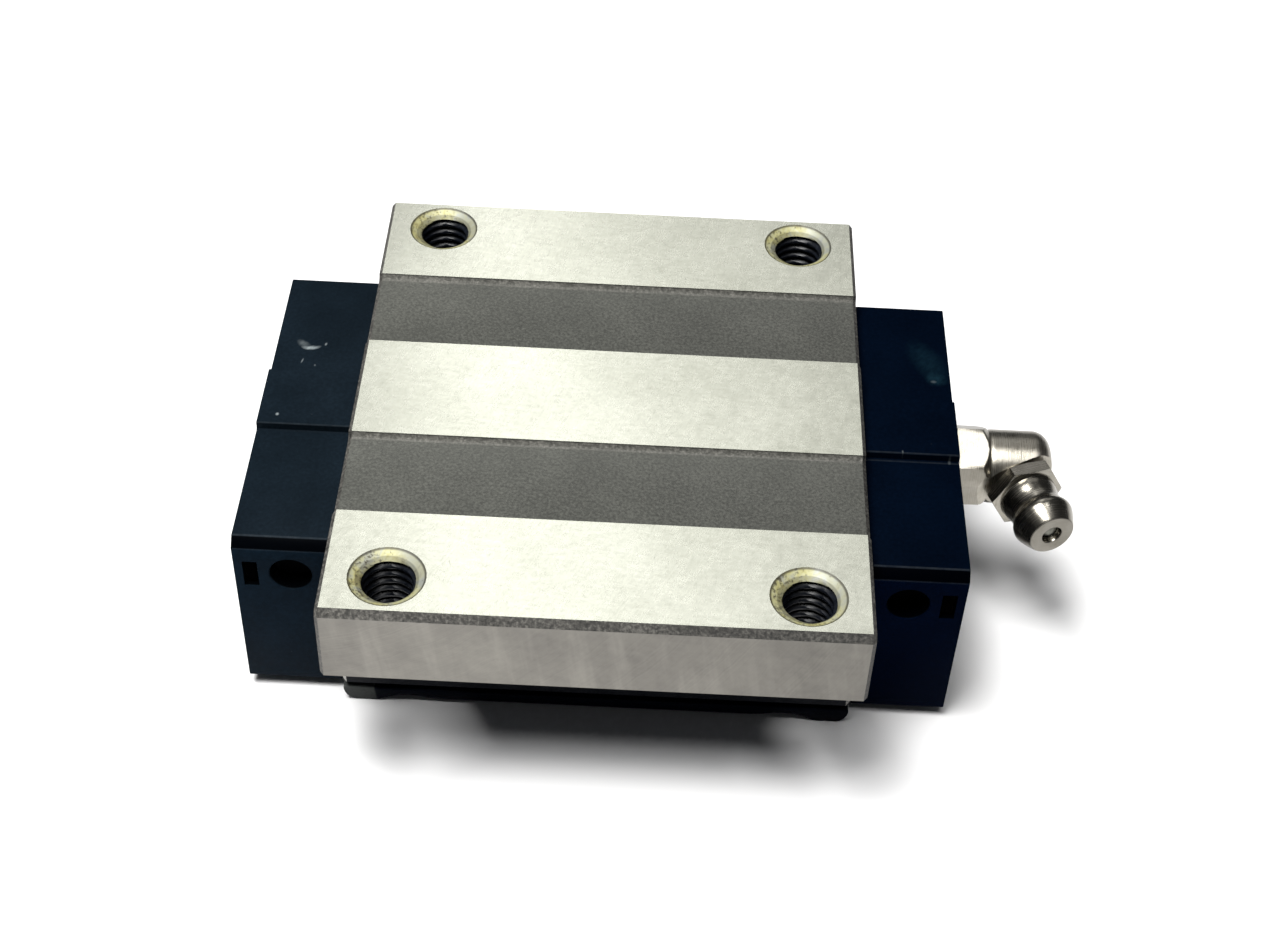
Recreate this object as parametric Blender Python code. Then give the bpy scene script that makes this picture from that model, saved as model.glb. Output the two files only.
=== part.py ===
"""Linear guide carriage, flanged, for a 20 mm profile rail.

Frame: +X along the rail, +Y across it, +Z up. The origin is the centre of the
ground mounting face on top of the steel block. Lengths are metres; the driving
dimensions below are written in millimetres and multiplied by MM.
"""
import math

import bmesh
import bpy
from mathutils import Vector

MM = 0.001

# ---- steel block -----------------------------------------------------------
BLOCK_LENGTH = 52.6          # along the rail
FLANGE_WIDTH = 63.0          # across the rail, over the ground datum sides
FLANGE_DEPTH = 9.35          # height of the ground side face
PAD_HALF = 7.0               # half width of the centre pad
PAD_INNER = 18.1             # inner edge of each flange pad
BAND_DEPTH = 0.65            # recess of the two blasted bands
TOP_CHAMFER = 0.7            # chamfer along the flange's long top edge
LEG_OUTER = 21.6             # half width over the legs
LEG_BOTTOM = 22.7            # steel ends here, below the mounting face
CHANNEL_HALF = 11.2          # half width of the rail channel
CHANNEL_CEILING = 11.2

# ---- mounting holes --------------------------------------------------------
HOLE_X, HOLE_Y = 20.0, 26.5  # half of the 40 x 53 pattern
TAP_RADIUS = 2.55            # tapping bore of the M6 thread
SINK_RADIUS, SINK_DEPTH = 3.775, 0.7

# ---- ball circuits ---------------------------------------------------------
BALL_RADIUS = 1.75
BALLS_PER_CIRCUIT = 34
BALLS_PER_ROW = 14
BALLS_PER_TURN = 3
TURN_X = 26.25               # where the straight tracks end and the turns start
TRACK_CLEARANCE = 0.30
# (loaded y, loaded z, return y, return z), on the +Y side
CIRCUITS = {
    "upper": (10.4, -13.8, 14.6, -7.9),
    "lower": (10.4, -19.3, 17.4, -16.6),
}

# ---- end caps --------------------------------------------------------------
CAP_INNER, CAP_OUTER = 26.6, 36.35
CAP_HALF = 20.2
CAP_TOP, CAP_BOTTOM = 3.1, 23.4
CAP_CHAMFER, CAP_REAR_CHAMFER = 1.0, 0.3
CAP_STRIP_HALF, CAP_STRIP_TOP = 4.1, 2.2
CAP_RECESS_X = 33.9
PORT_X, PORT_Z, PORT_RADIUS, PORT_FLOOR = 30.7, -7.5, 2.1, 17.8
WINDOW_X = (33.95, 35.45)
WINDOW_Z = (-9.4, -5.9)
SCREW_SITES = ((8.5, -6.5), (16.8, -20.8))
SCREW_SEAT = 32.65
SEAL_X = (34.2, 35.9)
GREASE_Z = -7.4
HEX_TILT = 9.0               # degrees its front flat faces above level

# ---- grease fitting --------------------------------------------------------
ELBOW_X = 42.6
ARM_ANGLE = 70.4             # degrees from +X towards -Y
NIPPLE_HEX_TILT = 0.0
CHECK_BALL_RADIUS = 1.2
CHECK_BALL_OUT = 8.8         # from the elbow's centre along the arm


for old in list(bpy.data.objects):
    bpy.data.objects.remove(old, do_unlink=True)

scene_collection = bpy.context.scene.collection
material_cache = {}


def material(name, color, roughness, metallic):
    if name not in material_cache:
        mat = bpy.data.materials.new(name)
        mat.use_nodes = True
        shader = mat.node_tree.nodes["Principled BSDF"]
        shader.inputs["Base Color"].default_value = (*color, 1.0)
        shader.inputs["Roughness"].default_value = roughness
        shader.inputs["Metallic"].default_value = metallic
        material_cache[name] = mat
    return material_cache[name]


def finish_mesh(name, bm, origin=(0, 0, 0), smooth=None):
    """Turn a bmesh built in world millimetres into an object at origin (mm)."""
    bmesh.ops.remove_doubles(bm, verts=bm.verts, dist=1e-5)
    bmesh.ops.recalc_face_normals(bm, faces=bm.faces)
    origin = Vector(origin)
    for v in bm.verts:
        v.co = (v.co - origin) * MM
    mesh = bpy.data.meshes.new(name)
    bm.to_mesh(mesh)
    bm.free()
    if smooth is not None:
        mesh.shade_smooth()
        mesh.set_sharp_from_angle(angle=math.radians(smooth))
    obj = bpy.data.objects.new(name, mesh)
    obj.location = origin * MM
    scene_collection.objects.link(obj)
    return obj


def add_material(obj, color, roughness, metallic):
    obj.data.materials.append(material("mat_" + obj.name, color, roughness, metallic))


def prism(bm, outline, place, low, high):
    """Extrude a closed 2-D outline from low to high; place(a, b, t) gives 3-D."""
    verts = [bm.verts.new(place(a, b, low)) for a, b in outline]
    face = bm.faces.new(verts)
    moved = bmesh.ops.extrude_face_region(bm, geom=[face])
    tops = [g for g in moved["geom"] if isinstance(g, bmesh.types.BMVert)]
    shift = Vector(place(0, 0, high)) - Vector(place(0, 0, low))
    bmesh.ops.translate(bm, verts=tops, vec=shift)


def along_x(a, b, t):
    return (t, a, b)


def along_y(a, b, t):
    return (a, t, b)


def frame_of(direction):
    d = Vector(direction).normalized()
    ref = Vector((0, 0, 1)) if abs(d.z) < 0.9 else Vector((0, 1, 0))
    u = (ref - d * ref.dot(d)).normalized()
    return d, u, d.cross(u)


def ring(bm, centre, u, v, radius, count, phase=0.0):
    return [bm.verts.new(centre
                         + u * (radius * math.cos(phase + 2 * math.pi * k / count))
                         + v * (radius * math.sin(phase + 2 * math.pi * k / count)))
            for k in range(count)]


def skin(bm, rings):
    """Join rings (lists of equal length, or one vertex for a tip) in order."""
    for a, b in zip(rings, rings[1:]):
        if len(a) == 1 and len(b) == 1:
            continue
        n = max(len(a), len(b))
        for k in range(n):
            j = (k + 1) % n
            if len(a) == 1:
                bm.faces.new((a[0], b[k], b[j]))
            elif len(b) == 1:
                bm.faces.new((a[k], a[j], b[0]))
            else:
                bm.faces.new((a[k], a[j], b[j], b[k]))


def turned(bm, profile, origin, direction, count, phase=0.0):
    """Turn (distance, radius) points about a line; radius 0 makes a tip."""
    d, u, v = frame_of(direction)
    origin = Vector(origin)
    rings = []
    for s, r in profile:
        centre = origin + d * s
        rings.append([bm.verts.new(centre)] if r == 0
                     else ring(bm, centre, u, v, r, count, phase))
    skin(bm, rings)


def cutter(name, bm):
    obj = finish_mesh(name, bm)
    obj.hide_render = True
    obj.display_type = 'WIRE'
    return obj


def cut(obj, tool):
    mod = obj.modifiers.new(tool.name, 'BOOLEAN')
    mod.operation = 'DIFFERENCE'
    mod.solver = 'EXACT'
    mod.object = tool


def mirrored(half):
    """Close an outline from its +Y half, listed from the top centre outwards."""
    return half + [(-y, z) for y, z in reversed(half)]


# ---------------------------------------------------------------------------
# ball-circuit geometry
# ---------------------------------------------------------------------------
class Circuit:
    def __init__(self, level, side):
        ly, lz, ry, rz = CIRCUITS[level]
        self.loaded = Vector((0, side * ly, lz))
        self.back = Vector((0, side * ry, rz))
        gap = self.back - self.loaded
        self.radius = gap.length / 2
        self.e = gap.normalized()                      # loaded row to return row
        self.normal = Vector((1, 0, 0)).cross(self.e)  # axis of both turns
        self.middle = (self.loaded + self.back) / 2
        self.pitch = (4 * TURN_X + 2 * math.pi * self.radius) / BALLS_PER_CIRCUIT

    def turn_point(self, end, angle, radius):
        x = Vector((end, 0, 0))
        centre = self.middle + Vector((end * TURN_X, 0, 0))
        return centre + (x * math.sin(angle) - self.e * math.cos(angle)) * radius

    def turn_tangent(self, end, angle):
        x = Vector((end, 0, 0))
        return (x * math.cos(angle) + self.e * math.sin(angle)).normalized()


def bead_rings(bm, centres, tangents, necks, neck_tangents, side):
    """Balls as faceted beads on a thin thread, one connected solid."""
    ball_ring = 0.85
    ball_ring_radius = 1.60
    neck_radius = 0.35
    rings = []
    for i, (c, t) in enumerate(zip(centres, tangents)):
        u = side
        v = t.cross(u).normalized()
        if i == 0:
            rings.append([bm.verts.new(c - t * BALL_RADIUS)])
        rings.append(ring(bm, c - t * ball_ring, u, v, ball_ring_radius, 8, math.pi / 8))
        rings.append(ring(bm, c + t * ball_ring, u, v, ball_ring_radius, 8, math.pi / 8))
        if i < len(centres) - 1:
            nt = neck_tangents[i]
            rings.append(ring(bm, necks[i], u, nt.cross(u).normalized(),
                              neck_radius, 8, math.pi / 8))
        else:
            rings.append([bm.verts.new(c + t * BALL_RADIUS)])
    skin(bm, rings)


STEEL_BALL = ((0.62, 0.63, 0.64), 0.12, 1.0)


def straight_row(name, circuit, base):
    bm = bmesh.new()
    x = Vector((1, 0, 0))
    start = -(BALLS_PER_ROW - 1) / 2 * circuit.pitch
    centres = [base + x * (start + i * circuit.pitch) for i in range(BALLS_PER_ROW)]
    necks = [(a + b) / 2 for a, b in zip(centres, centres[1:])]
    bead_rings(bm, centres, [x] * len(centres), necks, [x] * len(necks), circuit.e)
    add_material(finish_mesh(name, bm, origin=base, smooth=35), *STEEL_BALL)


def turn_row(name, circuit, end):
    bm = bmesh.new()
    step = circuit.pitch / circuit.radius
    angles = [math.pi / 2 + (i - (BALLS_PER_TURN - 1) / 2) * step
              for i in range(BALLS_PER_TURN)]
    centres = [circuit.turn_point(end, a, circuit.radius) for a in angles]
    tangents = [circuit.turn_tangent(end, a) for a in angles]
    mids = [(a + b) / 2 for a, b in zip(angles, angles[1:])]
    necks = [circuit.turn_point(end, a, circuit.radius * math.cos(step / 2)) for a in mids]
    bead_rings(bm, centres, tangents, necks,
               [circuit.turn_tangent(end, a) for a in mids], circuit.normal)
    pivot = circuit.middle + Vector((end * TURN_X, 0, 0))
    add_material(finish_mesh(name, bm, origin=pivot, smooth=35), *STEEL_BALL)


def turn_pocket(bm, circuit, end):
    """Half-disc pocket in which the balls turn, as a cutter."""
    reach = circuit.radius + BALL_RADIUS + TRACK_CLEARANCE
    half = BALL_RADIUS + TRACK_CLEARANCE
    centre = circuit.middle + Vector((end * TURN_X, 0, 0))
    x = Vector((end, 0, 0))
    pts = [(-0.8, -reach)]
    steps = 14
    for k in range(steps + 1):
        a = -math.pi / 2 + math.pi * k / steps
        pts.append((reach * math.cos(a), reach * math.sin(a)))
    pts.append((-0.8, reach))

    def place(a, b, t):
        return centre + x * a + circuit.e * b + circuit.normal * t
    prism(bm, pts, place, -half, half)


def turn_guide(name, circuit, end):
    """Half pulley that the balls turn around."""
    r = circuit.radius - BALL_RADIUS - TRACK_CLEARANCE
    flat = CAP_INNER + 0.05 - TURN_X
    limit = math.acos(flat / r)
    centre = circuit.middle + Vector((end * TURN_X, 0, 0))
    x = Vector((end, 0, 0))
    pts = [(r * math.cos(-limit + 2 * limit * k / 8), r * math.sin(-limit + 2 * limit * k / 8))
           for k in range(9)]
    bm = bmesh.new()

    def place(a, b, t):
        return centre + x * a + circuit.e * b + circuit.normal * t
    prism(bm, pts, place, -1.75, 1.75)
    add_material(finish_mesh(name, bm), (0.05, 0.05, 0.055), 0.45, 0.0)


circuits = {(lv, sd): Circuit(lv, sg)
            for sd, sg in (("front", -1), ("rear", 1)) for lv in CIRCUITS}

# ---------------------------------------------------------------------------
# steel block
# ---------------------------------------------------------------------------


def raceway(cy, cz):
    r = BALL_RADIUS + TRACK_CLEARANCE
    limit = math.acos((CHANNEL_HALF - cy) / r)
    return [(cy + r * math.cos(-limit + 2 * limit * k / 8),
             cz + r * math.sin(-limit + 2 * limit * k / 8)) for k in range(9)]


half = [(PAD_HALF, 0), (PAD_HALF + 0.25, -BAND_DEPTH), (PAD_INNER - 0.25, -BAND_DEPTH),
        (PAD_INNER, 0), (FLANGE_WIDTH / 2 - TOP_CHAMFER, 0),
        (FLANGE_WIDTH / 2, -TOP_CHAMFER), (FLANGE_WIDTH / 2, -FLANGE_DEPTH + 0.3),
        (FLANGE_WIDTH / 2 - 0.3, -FLANGE_DEPTH),
        (LEG_OUTER, -FLANGE_DEPTH), (LEG_OUTER, -LEG_BOTTOM + 0.6),
        (LEG_OUTER - 0.6, -LEG_BOTTOM), (CHANNEL_HALF + 0.6, -LEG_BOTTOM),
        (CHANNEL_HALF, -LEG_BOTTOM + 0.6)]
half += raceway(*CIRCUITS["lower"][:2]) + raceway(*CIRCUITS["upper"][:2])
half += [(CHANNEL_HALF, -CHANNEL_CEILING)]

bm = bmesh.new()
prism(bm, mirrored(half), along_x, -BLOCK_LENGTH / 2, BLOCK_LENGTH / 2)
block = finish_mesh("carriage_block", bm)
add_material(block, (0.62, 0.61, 0.58), 0.35, 0.9)

bm = bmesh.new()
slope = (SINK_RADIUS - TAP_RADIUS) / SINK_DEPTH
for sx in (-1, 1):
    for sy in (-1, 1):
        turned(bm, [(-0.3, 0), (-0.3, SINK_RADIUS + 0.3 * slope), (SINK_DEPTH, TAP_RADIUS),
                    (FLANGE_DEPTH + 0.5, TAP_RADIUS), (FLANGE_DEPTH + 0.5, 0)],
               (sx * HOLE_X, sy * HOLE_Y, 0), (0, 0, -1), 20)
cut(block, cutter("guide_mounting_holes", bm))

bm = bmesh.new()
for c in circuits.values():
    r = BALL_RADIUS + TRACK_CLEARANCE + 0.05
    reach = BLOCK_LENGTH + 2
    turned(bm, [(0, 0), (0, r), (reach, r), (reach, 0)],
           (-reach / 2, c.back.y, c.back.z), (1, 0, 0), 14)
cut(block, cutter("guide_return_bores", bm))

bm = bmesh.new()
for end in (-1, 1):
    for y, z in SCREW_SITES:
        for sy in (-1, 1):
            turned(bm, [(-0.5, 0), (-0.5, 1.35), (7.2, 1.35), (7.8, 0)],
                   (end * BLOCK_LENGTH / 2, sy * y, z), (-end, 0, 0), 10)
cut(block, cutter("guide_end_screw_holes", bm))

# ---------------------------------------------------------------------------
# balls, in four closed circuits
# ---------------------------------------------------------------------------
for (level, side), c in circuits.items():
    tag = side + "_" + level
    straight_row("balls_loaded_" + tag, c, c.loaded)
    straight_row("balls_return_" + tag, c, c.back)
    for end, word in ((-1, "left"), (1, "right")):
        turn_row("balls_turn_" + word + "_" + tag, c, end)
        turn_guide("turn_guide_" + word + "_" + tag, c, end)

# ---------------------------------------------------------------------------
# ball retainers
# ---------------------------------------------------------------------------
RESIN = ((0.045, 0.047, 0.05), 0.5, 0.0)
bm = bmesh.new()
prism(bm, [(-9.0, -11.5), (9.0, -11.5), (9.2, -12.0), (8.7, -12.35),
           (-8.7, -12.35), (-9.2, -12.0)], along_x, -26.0, 26.0)
add_material(finish_mesh("top_ball_retainer", bm), *RESIN)
for sy, word in ((-1, "front"), (1, "rear")):
    bm = bmesh.new()
    prism(bm, [(sy * 10.9, -17.3), (sy * 10.9, -15.8), (sy * 9.6, -15.65), (sy * 9.6, -17.45)],
          along_x, -26.0, 26.0)
    add_material(finish_mesh("side_ball_retainer_" + word, bm), *RESIN)

# ---------------------------------------------------------------------------
# bottom seals: a plate under each leg, with an upstanding rib that holds the
# lower balls, and a foot at each end
# ---------------------------------------------------------------------------
for sy, word in ((-1, "front"), (1, "rear")):
    bm = bmesh.new()
    prism(bm, [(sy * y, z) for y, z in (
        (21.6, -22.95), (21.6, -24.8), (10.6, -24.8), (9.9, -24.2), (9.7, -21.4),
        (10.9, -21.4), (10.9, -22.95))], along_x, -26.3, 26.3)
    seal = finish_mesh("bottom_seal_" + word, bm)
    add_material(seal, (0.02, 0.021, 0.023), 0.5, 0.0)
    bm = bmesh.new()
    under = [(-16.6, -24.2), (-18.6, -23.8), (-20.8, -23.8), (-22.9, -24.9), (-22.9, -25.6)]
    outline = [(x, z) for x, z in under] + [(-x, z) for x, z in reversed(under)]
    prism(bm, outline, along_y, min(sy * 8, sy * 24), max(sy * 8, sy * 24))
    for end in (-1, 1):
        prism(bm, [(end * 26.8, -23.7), (end * 26.3001, -23.7), (end * 25.5, -24.9),
                   (end * 25.5, -25.6), (end * 26.8, -25.6)],
              along_y, min(sy * 8, sy * 24), max(sy * 8, sy * 24))
    cut(seal, cutter("guide_seal_underside_" + word, bm))

# ---------------------------------------------------------------------------
# end caps with their seals, lips and screws
# ---------------------------------------------------------------------------
CAP = ((0.012, 0.016, 0.024), 0.38, 0.0)
for end, word in ((-1, "left"), (1, "right")):
    # the front top edge has a broad chamfer, the rear one only a small one
    halves = [[(CAP_STRIP_HALF, -CAP_STRIP_TOP), (CAP_STRIP_HALF + 0.2, -CAP_TOP),
               (CAP_HALF - chamfer, -CAP_TOP), (CAP_HALF, -CAP_TOP - chamfer),
               (CAP_HALF, -CAP_BOTTOM + 0.4), (CAP_HALF - 0.4, -CAP_BOTTOM),
               (11.4, -CAP_BOTTOM), (10.7, -CAP_BOTTOM + 0.7), (10.7, -11.7)]
              for chamfer in (CAP_REAR_CHAMFER, CAP_CHAMFER)]
    outline = halves[0] + [(-y, z) for y, z in reversed(halves[1])]
    bm = bmesh.new()
    prism(bm, outline, along_x, end * CAP_INNER, end * CAP_OUTER)
    cap = finish_mesh("end_cap_" + word, bm)
    add_material(cap, *CAP)

    bm = bmesh.new()
    for c in circuits.values():
        turn_pocket(bm, c, end)
    cut(cap, cutter("guide_turn_pockets_" + word, bm))

    bm = bmesh.new()
    prism(bm, [(-19.0, -22.2), (-19.0, -4.4), (19.0, -4.4), (19.0, -22.2)],
          along_x, end * CAP_RECESS_X, end * (CAP_OUTER + 0.6))
    cut(cap, cutter("guide_seal_recess_" + word, bm))

    bm = bmesh.new()
    x_in, x_out = CAP_INNER - 0.6, CAP_RECESS_X + 0.4
    for y, z in SCREW_SITES:
        for sy in (-1, 1):
            turned(bm, [(x_in, 0), (x_in, 1.35), (32.4, 1.35), (32.4, 2.3), (x_out, 2.3),
                        (x_out, 0)], (0, sy * y, z), (end, 0, 0), 14)
    turned(bm, [(x_in, 0), (x_in, 1.5), (29.0, 1.5), (29.0, 3.0), (x_out, 3.0), (x_out, 0)],
           (0, 0, GREASE_Z), (end, 0, 0), 20)
    for sy in (-1, 1):
        turned(bm, [(0, 0), (0, PORT_RADIUS), (4, PORT_RADIUS), (4, 0)],
               (end * PORT_X, sy * PORT_FLOOR, PORT_Z), (0, sy, 0), 20)
        prism(bm, [(end * WINDOW_X[0], WINDOW_Z[0]), (end * WINDOW_X[1], WINDOW_Z[0]),
                   (end * WINDOW_X[1], WINDOW_Z[1]), (end * WINDOW_X[0], WINDOW_Z[1])],
              along_y, sy * 18.5, sy * 21.0)
    cut(cap, cutter("guide_cap_openings_" + word, bm))

    # end seal plate, with a tab into each side window
    half = [(18.7, -4.7), (18.7, -6.2), (19.7, -6.2), (19.7, -9.05), (18.7, -9.05),
            (18.7, -21.9), (11.6, -21.9), (11.6, -11.0)]
    bm = bmesh.new()
    prism(bm, mirrored(half), along_x, end * SEAL_X[0], end * SEAL_X[1])
    plate = finish_mesh("end_seal_" + word, bm)
    add_material(plate, (0.018, 0.02, 0.024), 0.42, 0.0)
    bm = bmesh.new()
    for y, z in SCREW_SITES:
        for sy in (-1, 1):
            turned(bm, [(33, 0), (33, 2.35), (37, 2.35), (37, 0)], (0, sy * y, z),
                   (end, 0, 0), 14)
    turned(bm, [(33, 0), (33, 3.05), (37, 3.05), (37, 0)], (0, 0, GREASE_Z), (end, 0, 0), 20)
    # the tabs are thinner than the plate
    for sy in (-1, 1):
        prism(bm, [(end * 35.15, -9.5), (end * 36.5, -9.5), (end * 36.5, -5.7),
                   (end * 35.15, -5.7)], along_y, sy * 18.7001, sy * 20.5)
    cut(plate, cutter("guide_seal_holes_" + word, bm))

    # rubber lip that wipes the rail
    outer = [(11.3, -11.3), (11.3, -21.9)]
    inner = [(10.15, -21.9), (10.15, -20.7), (9.1, -19.9), (9.1, -18.7), (10.15, -17.9),
             (10.15, -15.2), (9.1, -14.4), (9.1, -13.4), (10.15, -12.9), (9.7, -12.45)]
    bm = bmesh.new()
    prism(bm, mirrored(outer + inner), along_x, end * SEAL_X[0], end * (SEAL_X[1] + 0.2))
    add_material(finish_mesh("seal_lip_" + word, bm), (0.01, 0.01, 0.011), 0.6, 0.0)

    # four screws through the cap into the block
    number = 0
    for y, z in SCREW_SITES:
        for sy in (-1, 1):
            number += 1
            bm = bmesh.new()
            turned(bm, [(19.5, 0), (19.5, 0.8), (19.9, 1.1), (SCREW_SEAT, 1.1),
                        (SCREW_SEAT, 2.0), (33.5, 2.0), (33.8, 1.7), (33.8, 0.9),
                        (33.1, 0.9), (33.1, 0)], (0, sy * y, z), (end, 0, 0), 12)
            add_material(finish_mesh("cap_screw_%s_%d" % (word, number), bm, smooth=40),
                         (0.10, 0.10, 0.11), 0.35, 1.0)

# ---------------------------------------------------------------------------
# plug screw in the unused grease port
# ---------------------------------------------------------------------------
bm = bmesh.new()
turned(bm, [(29.5, 0), (29.5, 2.3), (29.9, 2.7), (34.9, 2.7), (35.3, 2.4), (35.3, 1.4),
            (33.3, 1.4), (33.3, 0)], (0, 0, GREASE_Z), (-1, 0, 0), 18)
add_material(finish_mesh("port_plug", bm, smooth=40), (0.09, 0.09, 0.10), 0.4, 1.0)

# ---------------------------------------------------------------------------
# grease fitting: elbow adapter, nipple, check ball and spring
# ---------------------------------------------------------------------------
NICKEL = ((0.60, 0.57, 0.52), 0.2, 1.0)
arm = Vector((math.cos(math.radians(ARM_ANGLE)), -math.sin(math.radians(ARM_ANGLE)), 0))
elbow = Vector((ELBOW_X, 0, GREASE_Z))

bm = bmesh.new()
# base hexagon, one flat facing the front, turned a little upwards
hex_r = 4.0 / math.cos(math.pi / 6)
d, u, v = frame_of((1, 0, 0))
base = Vector((0, 0, GREASE_Z))


def hex_ring(bm, x, r):
    return ring(bm, base + d * x, u, v, r, 6, -math.radians(HEX_TILT))


stub = [[bm.verts.new(base + d * 29.6)]]
stub.append(ring(bm, base + d * 29.6, u, v, 2.3, 18))
stub.append(ring(bm, base + d * 30.0, u, v, 2.7, 18))
stub.append(ring(bm, base + d * 36.9, u, v, 2.7, 18))
stub.append([bm.verts.new(base + d * 36.9)])
skin(bm, stub)
adapter = finish_mesh("grease_adapter", bm, smooth=40)
add_material(adapter, *NICKEL)


def joined(target, name, bm):
    tool = cutter(name, bm)
    mod = target.modifiers.new(name, 'BOOLEAN')
    mod.operation = 'UNION'
    mod.solver = 'EXACT'
    mod.object = tool


bm = bmesh.new()
skin(bm, [[bm.verts.new(base + d * 36.65)], hex_ring(bm, 36.65, hex_r),
          hex_ring(bm, 39.5, hex_r), hex_ring(bm, 40.0, hex_r - 0.08),
          [bm.verts.new(base + d * 40.0)]])
joined(adapter, "guide_adapter_hex", bm)
bm = bmesh.new()
turned(bm, [(39.6, 0), (39.6, 3.9), (44.8, 3.9), (45.7, 3.65), (46.35, 3.1), (46.75, 2.1),
            (46.85, 0)], base, (1, 0, 0), 24)
joined(adapter, "guide_adapter_body", bm)
bm = bmesh.new()
turned(bm, [(0, 0), (0, 2.2), (2.45, 2.2), (2.45, 4.5), (6.0, 4.5), (6.0, 0)],
       elbow, arm, 20)
cut(adapter, cutter("guide_adapter_socket", bm))
bm = bmesh.new()
turned(bm, [(28.5, 0), (28.5, 1.0), (ELBOW_X - 0.6, 1.0), (ELBOW_X - 0.6, 0)],
       base, (1, 0, 0), 10)
cut(adapter, cutter("guide_adapter_passage", bm))

# nipple: threaded stub, hexagon with flats up and down, then the turned head
bm = bmesh.new()
turned(bm, [(0.9, 1.5), (0.9, 1.85), (3.4, 1.85), (4.2, 3.0), (5.0, 3.0), (5.6, 2.9),
            (6.3, 2.80), (6.9, 2.82), (7.5, 3.05), (8.1, 3.25), (8.6, 3.2), (9.4, 2.85),
            (10.4, 2.35), (10.4, 1.05), (9.75, 1.05), (9.4, 1.5), (0.9, 1.5)],
       elbow, arm, 20)
nipple = finish_mesh("grease_nipple", bm, smooth=40)
add_material(nipple, *NICKEL)
bm = bmesh.new()
nd, nu, nv = frame_of(arm)
nip_hex = 3.5 / math.cos(math.pi / 6)
inner_r = 1.5
loops = []
for s, r in ((2.8, 2.6), (3.05, 2.75), (3.05, nip_hex - 0.2), (3.2, nip_hex),
             (4.4, nip_hex), (4.6, nip_hex - 0.3)):
    loops.append(ring(bm, elbow + nd * s, nu, nv, r, 6, math.radians(30 + NIPPLE_HEX_TILT)))
skin(bm, [[bm.verts.new(elbow + nd * 2.8)]] + loops + [[bm.verts.new(elbow + nd * 4.6)]])
joined(nipple, "guide_nipple_hex", bm)
bm = bmesh.new()
turned(bm, [(0.2, 0), (0.2, inner_r), (9.0, inner_r), (9.0, 0)], elbow, arm, 20)
cut(nipple, cutter("guide_nipple_bore", bm))

bm = bmesh.new()
centre = elbow + arm * CHECK_BALL_OUT
turned(bm, [(-CHECK_BALL_RADIUS * math.cos(math.pi * k / 8),
             0 if k in (0, 8) else CHECK_BALL_RADIUS * math.sin(math.pi * k / 8))
            for k in range(9)], centre, arm, 12)
add_material(finish_mesh("check_ball", bm, origin=centre, smooth=60), *STEEL_BALL)

# check spring, at its pressed length behind the ball's travel
bm = bmesh.new()
turns, per_turn, coil_r, wire = 4.5, 10, 1.05, 0.16
count = int(turns * per_turn)
s0, s1 = 3.3, 6.6
rings = []
for k in range(count + 1):
    t = k / count
    a = 2 * math.pi * turns * t
    s = s0 + (s1 - s0) * t
    radial = nu * math.cos(a) + nv * math.sin(a)
    tangent = ((-nu * math.sin(a) + nv * math.cos(a)) * (2 * math.pi * turns * coil_r)
               + nd * (s1 - s0)).normalized()
    p = elbow + nd * s + radial * coil_r
    side = tangent.cross(radial).normalized()
    if k == 0:
        rings.append([bm.verts.new(p)])
    rings.append(ring(bm, p, radial, side, wire, 6))
    if k == count:
        rings.append([bm.verts.new(p)])
skin(bm, rings)
add_material(finish_mesh("check_spring", bm, smooth=60), (0.5, 0.5, 0.5), 0.3, 1.0)
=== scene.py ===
import math

import bmesh
import bpy
import numpy as np
from mathutils import Matrix, Vector


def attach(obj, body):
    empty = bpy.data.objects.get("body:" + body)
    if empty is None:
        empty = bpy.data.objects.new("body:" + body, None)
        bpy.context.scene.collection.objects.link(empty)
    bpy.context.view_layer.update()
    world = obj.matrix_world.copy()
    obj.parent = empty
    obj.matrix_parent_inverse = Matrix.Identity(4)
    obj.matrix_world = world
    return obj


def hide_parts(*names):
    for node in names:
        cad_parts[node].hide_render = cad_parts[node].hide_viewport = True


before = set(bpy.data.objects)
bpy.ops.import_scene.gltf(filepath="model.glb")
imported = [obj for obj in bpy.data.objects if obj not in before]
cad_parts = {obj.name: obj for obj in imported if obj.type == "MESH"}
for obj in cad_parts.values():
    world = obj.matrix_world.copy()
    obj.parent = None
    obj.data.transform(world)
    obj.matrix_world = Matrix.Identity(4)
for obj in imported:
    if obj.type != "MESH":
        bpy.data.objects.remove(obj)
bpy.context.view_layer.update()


scene = bpy.context.scene
MM = 0.001

# ---------------------------------------------------------------------------
# dimensions in millimetres, the same as the solids'
# ---------------------------------------------------------------------------
BLOCK_LENGTH = 52.6
FLANGE_HALF = 31.5
FLANGE_DEPTH = 9.35
PAD_HALF, PAD_INNER, BAND_DEPTH = 7.0, 18.1, 0.65
LEG_OUTER, LEG_BOTTOM = 21.6, 22.7
CHANNEL_HALF, CHANNEL_CEILING = 11.2, 11.2
HOLE_X, HOLE_Y = 20.0, 26.5
BALL_R = 1.75
TURN_X = 26.25
BALLS_PER_CIRCUIT, BALLS_PER_ROW, BALLS_PER_TURN = 34, 14, 3
CIRCUITS = {"upper": (10.4, -13.8, 14.6, -7.9), "lower": (10.4, -19.3, 17.4, -16.6)}
CAP_INNER, CAP_OUTER, CAP_HALF = 26.6, 36.35, 20.2
CAP_TOP, CAP_BOTTOM, CAP_CHAMFER, CAP_REAR_CHAMFER = 3.1, 23.4, 1.0, 0.18
STRIP_HALF, STRIP_TOP = 4.1, 2.2
RECESS_X = 33.9
PORT_X, PORT_Z, PORT_R, PORT_FLOOR = 30.7, -7.5, 2.1, 17.8
WINDOW_X, WINDOW_Z = (33.95, 35.45), (-9.4, -5.9)
SCREW_SITES = ((8.5, -6.5), (16.8, -20.8))
SCREW_SEAT = 32.65
SEAL_X = (34.2, 35.9)
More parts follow.
